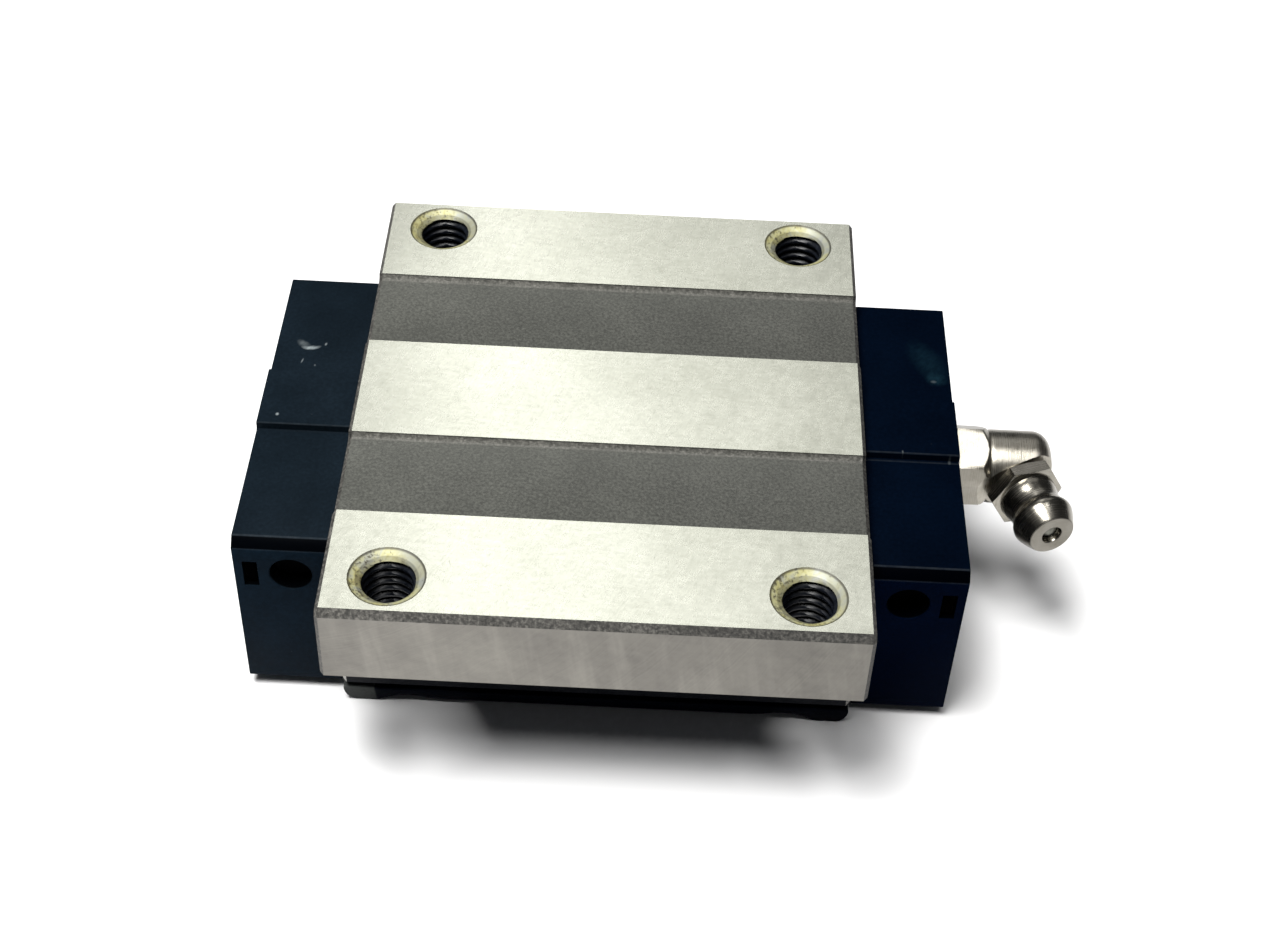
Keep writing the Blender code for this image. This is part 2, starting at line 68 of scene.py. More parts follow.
GREASE_Z = -7.4
ELBOW_X, ARM_ANGLE = 42.6, 70.4
HEX_TILT = 9.0
FLOOR_Z = -24.8

ARM = Vector((math.cos(math.radians(ARM_ANGLE)), -math.sin(math.radians(ARM_ANGLE)), 0))
ELBOW = Vector((ELBOW_X, 0, GREASE_Z))
GREASE = Vector((0, 0, GREASE_Z))

# ---------------------------------------------------------------------------
# mesh tools (everything is built in millimetres and scaled at the end)
# ---------------------------------------------------------------------------


def to_object(name, bm, smooth=30.0):
    bmesh.ops.remove_doubles(bm, verts=bm.verts, dist=1e-5)
    bmesh.ops.recalc_face_normals(bm, faces=bm.faces)
    for v in bm.verts:
        v.co = v.co * MM
    mesh = bpy.data.meshes.new(name)
    bm.to_mesh(mesh)
    bm.free()
    obj = bpy.data.objects.new(name, mesh)
    scene.collection.objects.link(obj)
    shade(obj, smooth)
    return obj


def shade(obj, angle=30.0):
    obj.data.shade_smooth()
    obj.data.set_sharp_from_angle(angle=math.radians(angle))


def apply_all(obj, angle=30.0):
    bpy.context.view_layer.update()
    deps = bpy.context.evaluated_depsgraph_get()
    mesh = bpy.data.meshes.new_from_object(obj.evaluated_get(deps))
    obj.modifiers.clear()
    old = obj.data
    obj.data = mesh
    bpy.data.meshes.remove(old)
    shade(obj, angle)
    return obj


def combine(obj, tool_bm, operation):
    tool = to_object("tool", tool_bm)
    mod = obj.modifiers.new("b", 'BOOLEAN')
    mod.operation = operation
    mod.solver = 'EXACT'
    mod.object = tool
    apply_all(obj)
    bpy.data.objects.remove(tool, do_unlink=True)
    return obj


def cut(obj, tool_bm):
    return combine(obj, tool_bm, 'DIFFERENCE')


def soften(obj, width, segments=2, angle=35.0, smooth=30.0):
    mod = obj.modifiers.new("bevel", 'BEVEL')
    mod.width = width * MM
    mod.segments = segments
    mod.limit_method = 'ANGLE'
    mod.angle_limit = math.radians(angle)
    mod.use_clamp_overlap = True
    mod.harden_normals = False
    return apply_all(obj, smooth)


def frame_of(direction):
    d = Vector(direction).normalized()
    ref = Vector((0, 0, 1)) if abs(d.z) < 0.9 else Vector((0, 1, 0))
    u = (ref - d * ref.dot(d)).normalized()
    return d, u, d.cross(u)


def ring(bm, centre, u, v, radius, count, phase=0.0):
    return [bm.verts.new(centre + u * (radius * math.cos(phase + 2 * math.pi * k / count))
                         + v * (radius * math.sin(phase + 2 * math.pi * k / count)))
            for k in range(count)]


def skin(bm, rings):
    for a, b in zip(rings, rings[1:]):
        if len(a) == 1 and len(b) == 1:
            continue
        n = max(len(a), len(b))
        for k in range(n):
            j = (k + 1) % n
            if len(a) == 1:
                bm.faces.new((a[0], b[k], b[j]))
            elif len(b) == 1:
                bm.faces.new((a[k], a[j], b[0]))
            else:
                bm.faces.new((a[k], a[j], b[j], b[k]))


def turned(bm, profile, origin, direction, count=48, phase=0.0):
    d, u, v = frame_of(direction)
    origin = Vector(origin)
    rings = []
    for s, r in profile:
        c = origin + d * s
        rings.append([bm.verts.new(c)] if r == 0 else ring(bm, c, u, v, r, count, phase))
    skin(bm, rings)


def threaded(bm, origin, direction, s0, s1, minor, major, pitch, limits,
             count=40, steps=8, hand=1):
    """A closed rod whose radius follows a screw thread between s0 and s1.
    limits(s) gives the smallest and largest radius allowed there, so that the
    thread runs out into chamfers and countersinks."""
    d, u, v = frame_of(direction)
    origin = Vector(origin)
    n = max(2, int(round((s1 - s0) / pitch * steps)))
    rings = [[bm.verts.new(origin + d * s0)]]
    for i in range(n + 1):
        s = s0 + (s1 - s0) * i / n
        lo, hi = limits(s)
        loop = []
        for k in range(count):
            a = 2 * math.pi * k / count
            t = (s / pitch - hand * k / count) % 1.0
            # trapezoid: crest 1/8, flanks 5/16 each, root 1/4
            if t < 0.125:
                h = 1.0
            elif t < 0.4375:
                h = 1.0 - (t - 0.125) / 0.3125
            elif t < 0.6875:
                h = 0.0
            else:
                h = (t - 0.6875) / 0.3125
            r = min(max(minor + (major - minor) * h, lo), hi)
            loop.append(bm.verts.new(origin + d * s + u * (r * math.cos(a))
                                     + v * (r * math.sin(a))))
        rings.append(loop)
    rings.append([bm.verts.new(origin + d * s1)])
    skin(bm, rings)


def inset_outline(points, w):
    """Move a closed counter-clockwise or clockwise outline inwards by w."""
    n = len(points)
    area = sum(points[i][0] * points[(i + 1) % n][1] - points[(i + 1) % n][0] * points[i][1]
               for i in range(n))
    sign = 1 if area > 0 else -1
    out = []
    for i in range(n):
        p, q, r = points[i - 1], points[i], points[(i + 1) % n]
        e1 = Vector((q[0] - p[0], q[1] - p[1])).normalized()
        e2 = Vector((r[0] - q[0], r[1] - q[1])).normalized()
        n1 = Vector((-e1.y, e1.x)) * sign
        n2 = Vector((-e2.y, e2.x)) * sign
        k = w / max(0.3, 1 + n1.dot(n2))
        out.append((q[0] + (n1.x + n2.x) * k, q[1] + (n1.y + n2.y) * k))
    return out


def chamfered_prism(bm, outline, place, low, high, w, segments=2, splits=1):
    """Extrude an outline with rounded end edges of radius w."""
    sgn = 1 if high > low else -1
    layers = []
    for k in range(segments + 1):
        a = math.pi / 2 * k / segments
        layers.append((low + sgn * w * (1 - math.sin(a)), w * (1 - math.cos(a))))
    layers = [(t, o) for t, o in layers][::-1]
    # from full inset at the very end to no inset at depth w
    layers = [(low + sgn * w * (1 - math.cos(math.pi / 2 * k / segments)),
               w * (1 - math.sin(math.pi / 2 * k / segments))) for k in range(segments + 1)]
    body = [(low + sgn * w + (high - low - 2 * sgn * w) * k / splits, 0.0)
            for k in range(1, splits)]
    mirror = [(low + high - t, o) for t, o in reversed(layers)]
    rings = []
    for t, o in layers + body + mirror:
        pts = inset_outline(outline, o) if o > 1e-9 else outline
        rings.append([bm.verts.new(place(a, b, t)) for a, b in pts])
    skin(bm, rings)
    bm.faces.new(rings[0])
    bm.faces.new(rings[-1])


def prism(bm, outline, place, low, high):
    a = [bm.verts.new(place(p, q, low)) for p, q in outline]
    b = [bm.verts.new(place(p, q, high)) for p, q in outline]
    skin(bm, [a, b])
    bm.faces.new(a)
    bm.faces.new(b)


def along_x(a, b, t):
    return (t, a, b)


def along_y(a, b, t):
    return (a, t, b)


def mirrored(half):
    return half + [(-y, z) for y, z in reversed(half)]


def fillet(points, radii, steps=4):
    """Round the corners of an open or closed list of points; radii by index."""
    out = []
    n = len(points)
    for i, q in enumerate(points):
        r = radii.get(i, 0)
        if r == 0:
            out.append(q)
            continue
        p, s = points[i - 1], points[(i + 1) % n]
        a = (Vector(p) - Vector(q)).normalized()
        b = (Vector(s) - Vector(q)).normalized()
        half = a.angle(b) / 2
        reach = r / math.tan(half)
        start, end = Vector(q) + a * reach, Vector(q) + b * reach
        centre = Vector(q) + (a + b).normalized() * (r / math.sin(half))
        v0, v1 = start - centre, end - centre
        turn = math.atan2(v0.x * v1.y - v0.y * v1.x, v0.dot(v1))
        for k in range(steps + 1):
            t = turn * k / steps
            c, sn = math.cos(t), math.sin(t)
            out.append((centre.x + v0.x * c - v0.y * sn, centre.y + v0.x * sn + v0.y * c))
    return out


# ---------------------------------------------------------------------------
# material tools
# ---------------------------------------------------------------------------


class Mat:
    def __init__(self, name):
        self.m = bpy.data.materials.new(name)
        self.m.use_nodes = True
        self.t = self.m.node_tree
        self.t.nodes.clear()
        self.out = self.new('ShaderNodeOutputMaterial')
        self.b = self.new('ShaderNodeBsdfPrincipled')
        self.link(self.b.outputs[0], self.out.inputs['Surface'])
        tc = self.new('ShaderNodeTexCoord')
        mp = self.new('ShaderNodeMapping')
        mp.inputs['Scale'].default_value = (1000, 1000, 1000)
        self.link(tc.outputs['Object'], mp.inputs['Vector'])
        self.p = mp.outputs['Vector']        # position in millimetres

    def new(self, kind):
        return self.t.nodes.new(kind)

    def link(self, a, b):
        self.t.links.new(a, b)

    def put(self, socket, value):
        if isinstance(value, bpy.types.NodeSocket):
            self.link(value, socket)
        elif isinstance(value, (tuple, list)) and len(value) == 3 and socket.type == 'RGBA':
            socket.default_value = (*value, 1)
        else:
            socket.default_value = value

    def set(self, **kw):
        for k, v in kw.items():
            self.put(self.b.inputs[k.replace('_', ' ')], v)

    def math(self, op, a, b=0.0, clamp=False):
        n = self.new('ShaderNodeMath')
        n.operation = op
        n.use_clamp = clamp
        self.put(n.inputs[0], a)
        self.put(n.inputs[1], b)
        return n.outputs[0]

    def vec(self, op, a, b=(0, 0, 0)):
        n = self.new('ShaderNodeVectorMath')
        n.operation = op
        self.put(n.inputs[0], a)
        if op == 'SCALE':
            self.put(n.inputs['Scale'], b)
        else:
            self.put(n.inputs[1], b)
        return n.outputs['Value'] if op in ('DISTANCE', 'LENGTH', 'DOT_PRODUCT') else n.outputs[0]

    def split(self, v=None):
        n = self.new('ShaderNodeSeparateXYZ')
        self.link(v or self.p, n.inputs[0])
        return n.outputs

    def join(self, x, y, z):
        n = self.new('ShaderNodeCombineXYZ')
        for s, v in zip(n.inputs, (x, y, z)):
            self.put(s, v)
        return n.outputs[0]

    def stretch(self, sx, sy, sz, v=None):
        n = self.new('ShaderNodeMapping')
        n.inputs['Scale'].default_value = (sx, sy, sz)
        self.link(v or self.p, n.inputs['Vector'])
        return n.outputs[0]

    def turn(self, rx, ry, rz, v=None):
        n = self.new('ShaderNodeMapping')
        n.inputs['Rotation'].default_value = tuple(math.radians(a) for a in (rx, ry, rz))
        self.link(v or self.p, n.inputs['Vector'])
        return n.outputs[0]

    def noise(self, scale, detail=2.0, rough=0.5, v=None, distort=0.0, w=None):
        n = self.new('ShaderNodeTexNoise')
        n.inputs['Scale'].default_value = scale
        n.inputs['Detail'].default_value = detail
        n.inputs['Roughness'].default_value = rough
        n.inputs['Distortion'].default_value = distort
        if w is not None:
            n.noise_dimensions = '1D'
            self.put(n.inputs['W'], w)
        else:
            self.link(v or self.p, n.inputs['Vector'])
        return n.outputs['Fac']

    def cells(self, scale, v=None, feature='F1', out='Distance', random=1.0):
        n = self.new('ShaderNodeTexVoronoi')
        n.feature = feature
        n.inputs['Scale'].default_value = scale
        n.inputs['Randomness'].default_value = random
        self.link(v or self.p, n.inputs['Vector'])
        return n.outputs[out]

    def ramp(self, fac, stops, mode='LINEAR'):
        n = self.new('ShaderNodeValToRGB')
        n.color_ramp.interpolation = mode
        e = n.color_ramp.elements
        while len(e) < len(stops):
            e.new(0.5)
        for el, (pos, col) in zip(e, stops):
            el.position = pos
            el.color = (col, col, col, 1) if isinstance(col, (int, float)) else (*col, 1)
        self.link(fac, n.inputs[0])
        return n.outputs[0]

    def span(self, fac, a, b, lo=0.0, hi=1.0):
        """Map a..b onto lo..hi, clamped."""
        n = self.new('ShaderNodeMapRange')
        n.clamp = True
        self.put(n.inputs['Value'], fac)
        n.inputs['From Min'].default_value = a
        n.inputs['From Max'].default_value = b
        n.inputs['To Min'].default_value = lo
        n.inputs['To Max'].default_value = hi
        return n.outputs[0]

    def mix(self, fac, a, b, blend='MIX'):
        n = self.new('ShaderNodeMix')
        n.data_type = 'RGBA'
        n.blend_type = blend
        n.clamp_factor = True
        self.put(n.inputs[0], fac)
        self.put(n.inputs[6], a)
        self.put(n.inputs[7], b)
        return n.outputs[2]

    def bump(self, height, strength, distance, normal=None):
        n = self.new('ShaderNodeBump')
        n.inputs['Strength'].default_value = strength
        n.inputs['Distance'].default_value = distance * MM
        self.link(height, n.inputs['Height'])
        if normal is not None:
            self.link(normal, n.inputs['Normal'])
        return n.outputs[0]


def ground_steel(name, light, dark, rough, arcs, tilt, scratch_and_end_light=0.0, smears_and_shade=0.0, metal=1.0):
    """Ground steel: cloudy mottling, fine grinding lines, scratches, specks; with scratches, painted
    highlight and shade at the left ends; with smears, painted shade towards +X.
    """
    m = Mat(name)
    clouds = m.noise(0.09, 4, 0.6)
    mottle = m.noise(0.9, 4, 0.65, v=m.stretch(1.0, 0.55, 1.0, m.turn(0, 0, tilt)))
    dist = m.vec('DISTANCE', m.p, arcs)
    lines = m.noise(5.0, 3, 0.7, w=m.math('ADD', dist, m.math('MULTIPLY', m.noise(0.3, 1), 0.8)))
    fine = m.noise(1.0, 2, 0.6, v=m.stretch(9.0, 0.7, 2.0, m.turn(0, 0, tilt)))
    tone = m.math('ADD', m.math('MULTIPLY', clouds, 0.45), m.math('MULTIPLY', mottle, 0.35))
    tone = m.math('ADD', tone, m.math('MULTIPLY', lines, 0.20))
    if scratch_and_end_light:
        # short smears along the rail's direction
        drawn = m.noise(2.0, 4, 0.65, v=m.stretch(0.30, 1.0, 1.0, m.turn(0, 0, 5)))
        tone = m.math('ADD', m.math('MULTIPLY', tone, 0.72), m.math('MULTIPLY', drawn, 0.28))
    base = m.ramp(tone, [(0.36, dark), (0.64, light)])
    # sparse small dark specks and a few pale scratches
    specks = m.span(m.cells(0.55, v=m.stretch(1, 1, 1)), 0.0, 0.075, 1.0, 0.0)
    gate = m.span(m.noise(0.35, 1), 0.58, 0.66)
    base = m.mix(m.math('MULTIPLY', m.math('MULTIPLY', specks, gate), 0.55), base,
                 tuple(c * 0.35 for c in dark))
    scr = m.span(m.noise(1.0, 1, 0.4, v=m.stretch(0.12, 5.5, 1, m.turn(0, 0, 28))), 0.70, 0.76)
    scr = m.math('MULTIPLY', scr, m.span(m.noise(0.12, 1), 0.5, 0.62))
    base = m.mix(m.math('MULTIPLY', scr, 0.10), base, tuple(min(1, c * 1.25) for c in light))
    if scratch_and_end_light:
        # fine freckles and short dark scratches in two directions
        freckle = m.noise(2.1, 4, 0.75)
        base = m.mix(m.span(freckle, 0.50, 0.68, 0.0, 0.22), base,
                     tuple(c * 0.55 for c in dark))
        for angle, gap in ((74, 0.74), (-52, 0.76)):
            cut_in = m.span(m.noise(1.0, 1, 0.4, v=m.stretch(0.85, 6.5, 1, m.turn(0, 0, angle))),
                            gap, gap + 0.05)
            cut_in = m.math('MULTIPLY', cut_in, m.span(m.noise(0.22, 1), 0.5, 0.6))
            base = m.mix(m.math('MULTIPLY', cut_in, scratch_and_end_light), base,
                         tuple(c * 0.30 for c in dark))
        # painted highlight and shade at the left ends: the rear pad darker, the front pad a little
        # lighter, the centre pad a little darker
        xyz = m.split()
        painted_end_light = m.math('MAXIMUM', m.span(xyz[0], -25.0, -15.5, 0.82, 1.0),
                      m.span(xyz[1], 15.0, 18.4, 1.0, 0.0))
        # painted highlight: the front pad's left end a little lighter
        lift = m.math('MINIMUM', m.span(xyz[0], -25.0, -12.0, 1.09, 1.0),
                      m.span(xyz[1], -18.0, -16.0, 2.0, 1.0))
        # painted shade: the centre pad's left end a little darker
        painted_centre_shade = m.math('MAXIMUM', m.span(xyz[0], -25.0, -15.0, 0.94, 1.0),
                      m.span(m.math('ABSOLUTE', xyz[1]), 8.0, 10.0))
        painted_end_light = m.math('MULTIPLY', m.math('MULTIPLY', painted_end_light, lift), painted_centre_shade)
        base = m.mix(1.0, base, m.join(painted_end_light, painted_end_light, painted_end_light), 'MULTIPLY')
    m.set(Base_Color=base, Metallic=metal,
          Roughness=m.span(m.math('ADD', m.math('MULTIPLY', mottle, 0.6),
                                  m.math('MULTIPLY', fine, 0.4)), 0.3, 0.7,
                           rough - 0.06, rough + 0.08))
    if smears_and_shade:
        # pale upright smears, as left by wiping
        smear = m.noise(1.0, 3, 0.6, v=m.stretch(0.55, 1.0, 0.07, m.turn(0, 8, 0)))
        base = m.mix(m.span(smear, 0.52, 0.72, 0.0, smears_and_shade), base,
                     tuple(min(1, c * 1.5) for c in light))
        base = m.mix(m.span(smear, 0.30, 0.46, smears_and_shade * 0.7, 0.0), base,
                     tuple(c * 0.6 for c in dark))
        # painted shade: the tone falls off towards the +X end
        painted_shade_fade = m.span(m.split()[0], -14.0, 26.0, 1.0, 0.80)
        base = m.mix(1.0, base, m.join(painted_shade_fade, painted_shade_fade, painted_shade_fade), 'MULTIPLY')
        m.set(Base_Color=base)
    h = m.math('ADD', m.math('MULTIPLY', fine, 0.6), m.math('MULTIPLY', lines, 0.4))
    m.set(Normal=m.bump(h, 0.05, 0.02))
    return m.m


def blasted_steel(name, colour, pale, strength=0.55, grain=3.6, metal=0.35, right=1.0,
                  deep=0.6, wall=False):
    """Blasted steel; right scales the tone towards the +X end as painted shade."""
    m = Mat(name)
    g1 = m.noise(grain, 4, 0.7)
    g2 = m.noise(grain * 3.1, 2, 0.6)
    broad = m.noise(0.12, 3, 0.5)
    tone = m.math('ADD', m.math('MULTIPLY', g1, 0.8), m.math('MULTIPLY', broad, 0.2))
    base = m.ramp(tone, [(0.40, tuple(c * deep for c in colour)), (0.51, colour), (0.63, pale)])
    # painted highlight: sparse pale glints in the grain
    glint = m.span(m.cells(1.7), 0.0, 0.12, 1.0, 0.0)
    base = m.mix(m.math('MULTIPLY', glint, m.span(m.noise(0.5, 1), 0.55, 0.7, 0.0, 0.35)), base,
                 tuple(min(1, c * 1.7) for c in pale))
    pores = m.span(g2, 0.55, 0.70)
    base = m.mix(m.math('MULTIPLY', pores, 0.3), base, tuple(c * 0.35 for c in colour))
    if wall:
        # the burr under the ground face is dark, and the foot of the wall is darkened as painted
        # shade
        z = m.split()[2]
        edge = m.math('MAXIMUM', m.span(z, -0.16, -0.08, 0.0, 0.8), m.span(z, -0.62, -0.54, 0.5, 0.0))
        base = m.mix(edge, base, tuple(c * 0.30 for c in colour))
    # painted shade: darker towards the +X end
    if right != 1.0:
        painted_shade_fade = m.span(m.split()[0], -24.0, 22.0, 1.0, right)
        base = m.mix(1.0, base, m.join(painted_shade_fade, painted_shade_fade, painted_shade_fade), 'MULTIPLY')
    m.set(Base_Color=base, Metallic=metal, Roughness=m.span(g1, 0.3, 0.7, 0.52, 0.74))
    h = m.math('ADD', m.math('MULTIPLY', g1, 0.7), m.math('MULTIPLY', g2, 0.3))
    m.set(Normal=m.bump(h, strength, 0.09))
    return m.m


def sink_steel():
    """Countersinks: turned steel with yellow staining on the left and far
    side, a grey-blue tone on the right, a dark outer rim, and painted shade at the bore's mouth."""
    m = Mat("countersink_steel")
    xyz = m.split()
    dx = m.math('SUBTRACT', m.math('ABSOLUTE', xyz[0]), HOLE_X)
    dy = m.math('SUBTRACT', m.math('ABSOLUTE', xyz[1]), HOLE_Y)
    r = m.vec('LENGTH', m.join(dx, dy, 0.0))
    # signed offsets from the hole's own centre, for the stains' direction
    sx = m.math('SUBTRACT', xyz[0], m.math('MULTIPLY', m.math('SIGN', xyz[0]), HOLE_X))
    sy = m.math('SUBTRACT', xyz[1], m.math('MULTIPLY', m.math('SIGN', xyz[1]), HOLE_Y))
    rings = m.noise(9.0, 2, 0.6, w=r)
    blot = m.noise(0.7, 4, 0.65, distort=0.6)
    base = m.ramp(blot, [(0.36, (0.36, 0.37, 0.31)), (0.48, (0.51, 0.50, 0.28)),
                         (0.60, (0.45, 0.42, 0.16)), (0.74, (0.20, 0.15, 0.06))])
    base = m.mix(m.math('MULTIPLY', rings, 0.25), base, (0.54, 0.53, 0.44))
    # grey-blue tone towards the right and far side of each hole
    side = m.math('ADD', sx, m.math('MULTIPLY', sy, 0.55))
    base = m.mix(m.math('MULTIPLY', m.span(side, 1.8, 3.2), 0.55), base, (0.30, 0.32, 0.33))
    gate = m.span(side, -0.5, 3.0, 0.0, 0.10)
    spots = m.span(m.math('SUBTRACT', m.noise(2.9, 4, 0.75), gate), 0.515, 0.60)
    base = m.mix(m.math('MULTIPLY', spots, 0.85), base, (0.05, 0.038, 0.015))
    # dark rings: one at the outer rim, and painted shade at the mouth of the bore
    rim = m.math('MAXIMUM', m.span(r, 3.50, 3.64), m.span(r, 2.98, 3.10, 0.6, 0.0))
    base = m.mix(m.math('MULTIPLY', rim, 0.82), base, (0.030, 0.026, 0.018))
    base = m.mix(1.0, base, (0.80, 0.80, 0.78), 'MULTIPLY')
    m.set(Base_Color=base, Metallic=0.25, Roughness=m.span(blot, 0.3, 0.7, 0.45, 0.62))
    m.set(Normal=m.bump(rings, 0.25, 0.03))
    return m.m


def dark_thread():
    # painted shade: the thread is near-black, standing in for the shade down the holes
    m = Mat("thread_painted_shade")
    n = m.noise(1.6, 3, 0.6)
    base = m.ramp(n, [(0.35, (0.0035, 0.0045, 0.007)), (0.7, (0.009, 0.011, 0.016))])
    m.set(Base_Color=base, Specular_IOR_Level=0.20, Roughness=m.span(n, 0.3, 0.7, 0.25, 0.36))
    m.set(Normal=m.bump(m.noise(3.0, 2, 0.6), 0.03, 0.02))
    return m.m


def leg_steel_painted_shade():
    """Unground lower surfaces of the block, painted near-black: painted shade for the shade under the
    flange.
    """
    m = Mat("leg_steel_painted_shade")
    n = m.noise(0.5, 4, 0.6)
    f = m.noise(5.0, 3, 0.6)
    base = m.ramp(n, [(0.3, (0.004, 0.005, 0.008)), (0.7, (0.013, 0.014, 0.018))])
    m.set(Base_Color=base, Roughness=m.span(f, 0.3, 0.7, 0.42, 0.62), Specular_IOR_Level=0.08)
    m.set(Normal=m.bump(f, 0.3, 0.04))
    return m.m


def raceway_steel():
    m = Mat("raceway_steel")
    xyz = m.split()
    along = m.noise(1.0, 3, 0.6, v=m.stretch(0.08, 6.0, 6.0))
    base = m.ramp(along, [(0.3, (0.34, 0.34, 0.33)), (0.7, (0.60, 0.60, 0.58))])
    m.set(Base_Color=base, Metallic=1.0, Roughness=m.span(along, 0.3, 0.7, 0.16, 0.32))
    m.set(Normal=m.bump(along, 0.12, 0.02))
    return m.m


def resin(name, colour, rough, spec, grain=0.10, marks=(), edges=(), painted_hollow_shade=False,
          bevel=None, painted_lit_end=None):
    """Black moulded resin with a fine eroded texture and dust.
    marks are (x, y, z, reach x, reach y, turn, bend, strength, grit): paler
    places, each an ellipse whose middle line may be bent.
    edges are (y, z, width, strength): corners along X given painted highlights, broken up by noise.
    painted_hollow_shade darkens the walls of the side openings as painted shade;
    bevel darkens the front top chamfer and tints the front face bluer, both as painted shade;
    painted_lit_end is the x below which the resin is painted a lighter grey as painted light."""
    m = Mat(name)
    fine = m.noise(7.0, 3, 0.65)
    grains = m.noise(2.6, 3, 0.7)
    broad = m.noise(0.13, 3, 0.55)
    tone = m.math('ADD', m.math('MULTIPLY', broad, 0.45), m.math('MULTIPLY', grains, 0.55))
    base = m.ramp(tone, [(0.34, tuple(c * 0.72 for c in colour)), (0.50, colour),
                         (0.68, tuple(c * 1.45 for c in colour))])
    xyz = m.split()
    if painted_lit_end is not None:
        # painted light: the resin turned lighter grey below the given x
        edge = m.math('ADD', xyz[0], m.math('MULTIPLY', m.math('ADD', xyz[2], 23.0), 0.12))
        painted_lit_part = m.span(edge, painted_lit_end - 0.1, painted_lit_end + 0.1, 1.0, 0.0)
        base = m.mix(m.math('MULTIPLY', painted_lit_part, m.span(grains, 0.3, 0.7, 0.75, 1.0)), base,
                     (0.062, 0.066, 0.064))
    if bevel:
        # painted shade: the front top chamfer darkened almost to black
        on = m.math('MULTIPLY', m.span(xyz[1], -19.32, -19.24, 1.0, 0.0),
                    m.span(xyz[2], -4.10, -4.04))
        base = m.mix(m.math('MULTIPLY', on, 0.93), base, (0.0001, 0.0002, 0.0006))
        # painted shade: the front face scaled by the bevel tint, bluer than the top
        front = m.span(xyz[1], -20.17, -20.12, 1.0, 0.0)
        base = m.mix(front, base, bevel, 'MULTIPLY')
    if painted_hollow_shade:
        # painted shade: the walls inside the side openings darkened almost to black
        ay = m.math('ABSOLUTE', xyz[1])
        inside = m.math('MULTIPLY', m.span(ay, 20.02, 20.12, 1.0, 0.0), m.span(ay, 17.5, 17.6))
        inside = m.math('MULTIPLY', inside, m.span(xyz[2], -5.2, -5.0, 1.0, 0.0))
        inside = m.math('MULTIPLY', inside, m.span(xyz[2], -10.0, -9.8))
        base = m.mix(m.math('MULTIPLY', inside, 0.9), base, (0.0002, 0.0002, 0.0004))
    dust = m.span(m.cells(0.42), 0.0, 0.035, 1.0, 0.0)
    dust = m.math('MULTIPLY', dust, m.span(m.noise(0.4, 1), 0.5, 0.6))
    base = m.mix(m.math('MULTIPLY', dust, 0.16), base, (0.22, 0.23, 0.24))
    # painted highlight: light lines along the listed corners
    for y, z, width, k in edges:
        near = m.vec('DISTANCE', m.join(0.0, xyz[1], xyz[2]), (0.0, y, z))
        near = m.span(near, width * 0.45, width, 1.0, 0.0)
        painted_highlight_breaks = m.span(m.noise(0.9, 3, 0.7), 0.30, 0.62, 0.45, 1.0)
        base = m.mix(m.math('MULTIPLY', m.math('MULTIPLY', near, painted_highlight_breaks), k), base,
                     (0.20, 0.23, 0.25))
    for x, y, z, rx, ry, angle, bend, k, grit in marks:
        off = m.turn(0, 0, angle, m.vec('SUBTRACT', m.p, (x, y, z)))
        off = m.split(m.vec('MULTIPLY', off, (1 / rx, 1 / ry, 0.25)))
        v = m.math('ADD', off[1], m.math('MULTIPLY', m.math('MULTIPLY', off[0], off[0]), -bend))
        wobble = m.math('MULTIPLY', m.math('SUBTRACT', m.noise(1.1, 3, 0.6), 0.5), 0.7)
        near = m.vec('LENGTH', m.join(off[0], m.math('ADD', v, wobble), off[2]))
        near = m.span(near, 0.25, 1.0, 1.0, 0.0)
        g = m.span(m.noise(1.7, 5, 0.75, v=m.stretch(1.6, 0.7, 1, m.turn(0, 0, 35))),
                   0.32, 0.66, 1.0 - grit, 1.0)
        base = m.mix(m.math('MULTIPLY', m.math('MULTIPLY', near, g), k), base,
                     (0.30, 0.34, 0.35) if k > 0.1 else (0.07, 0.24, 0.33))
    m.set(Base_Color=base, Roughness=m.span(fine, 0.3, 0.7, rough - 0.05, rough + 0.08),
          Specular_IOR_Level=spec)
    m.set(Normal=m.bump(fine, grain, 0.06))
    return m.m


def rubber():
    m = Mat("seal_rubber")
    f = m.noise(6.0, 3, 0.6)
    base = m.ramp(f, [(0.3, (0.006, 0.006, 0.007)), (0.7, (0.02, 0.02, 0.021))])
    m.set(Base_Color=base, Roughness=m.span(f, 0.3, 0.7, 0.5, 0.72))
    m.set(Normal=m.bump(f, 0.2, 0.05))
    return m.m


def plated(name, axis, point, rough=0.14, marks=0.30, dirt=0.5, lift=1.0):
    """Nickel plating over turned steel; marks run round the given axis."""
    m = Mat(name)
    s = m.vec('DOT_PRODUCT', m.vec('SUBTRACT', m.p, tuple(point)), tuple(axis))
    lines = m.noise(11.0, 4, 0.75, w=s)
    coarse = m.noise(3.2, 2, 0.5, w=s)
    cloud = m.noise(0.5, 3, 0.6)
    tone = m.math('ADD', m.math('MULTIPLY', lines, 0.5), m.math('MULTIPLY', cloud, 0.5))
    base = m.ramp(tone, [(0.32, tuple(c * lift for c in (0.30, 0.28, 0.23))),
                         (0.66, tuple(c * lift for c in (0.54, 0.51, 0.45)))])
    grime = m.span(m.noise(1.2, 4, 0.7), 0.60, 0.76)
    base = m.mix(m.math('MULTIPLY', grime, dirt), base, (0.10, 0.085, 0.06))
    m.set(Base_Color=base, Metallic=1.0,
          Roughness=m.span(m.math('ADD', m.math('MULTIPLY', lines, 0.7),
                                  m.math('MULTIPLY', cloud, 0.3)), 0.3, 0.7,
                           rough - 0.05, rough + 0.13))
    h = m.math('ADD', m.math('MULTIPLY', lines, 0.6), m.math('MULTIPLY', coarse, 0.4))
    m.set(Normal=m.bump(h, marks, 0.02))
    return m.m


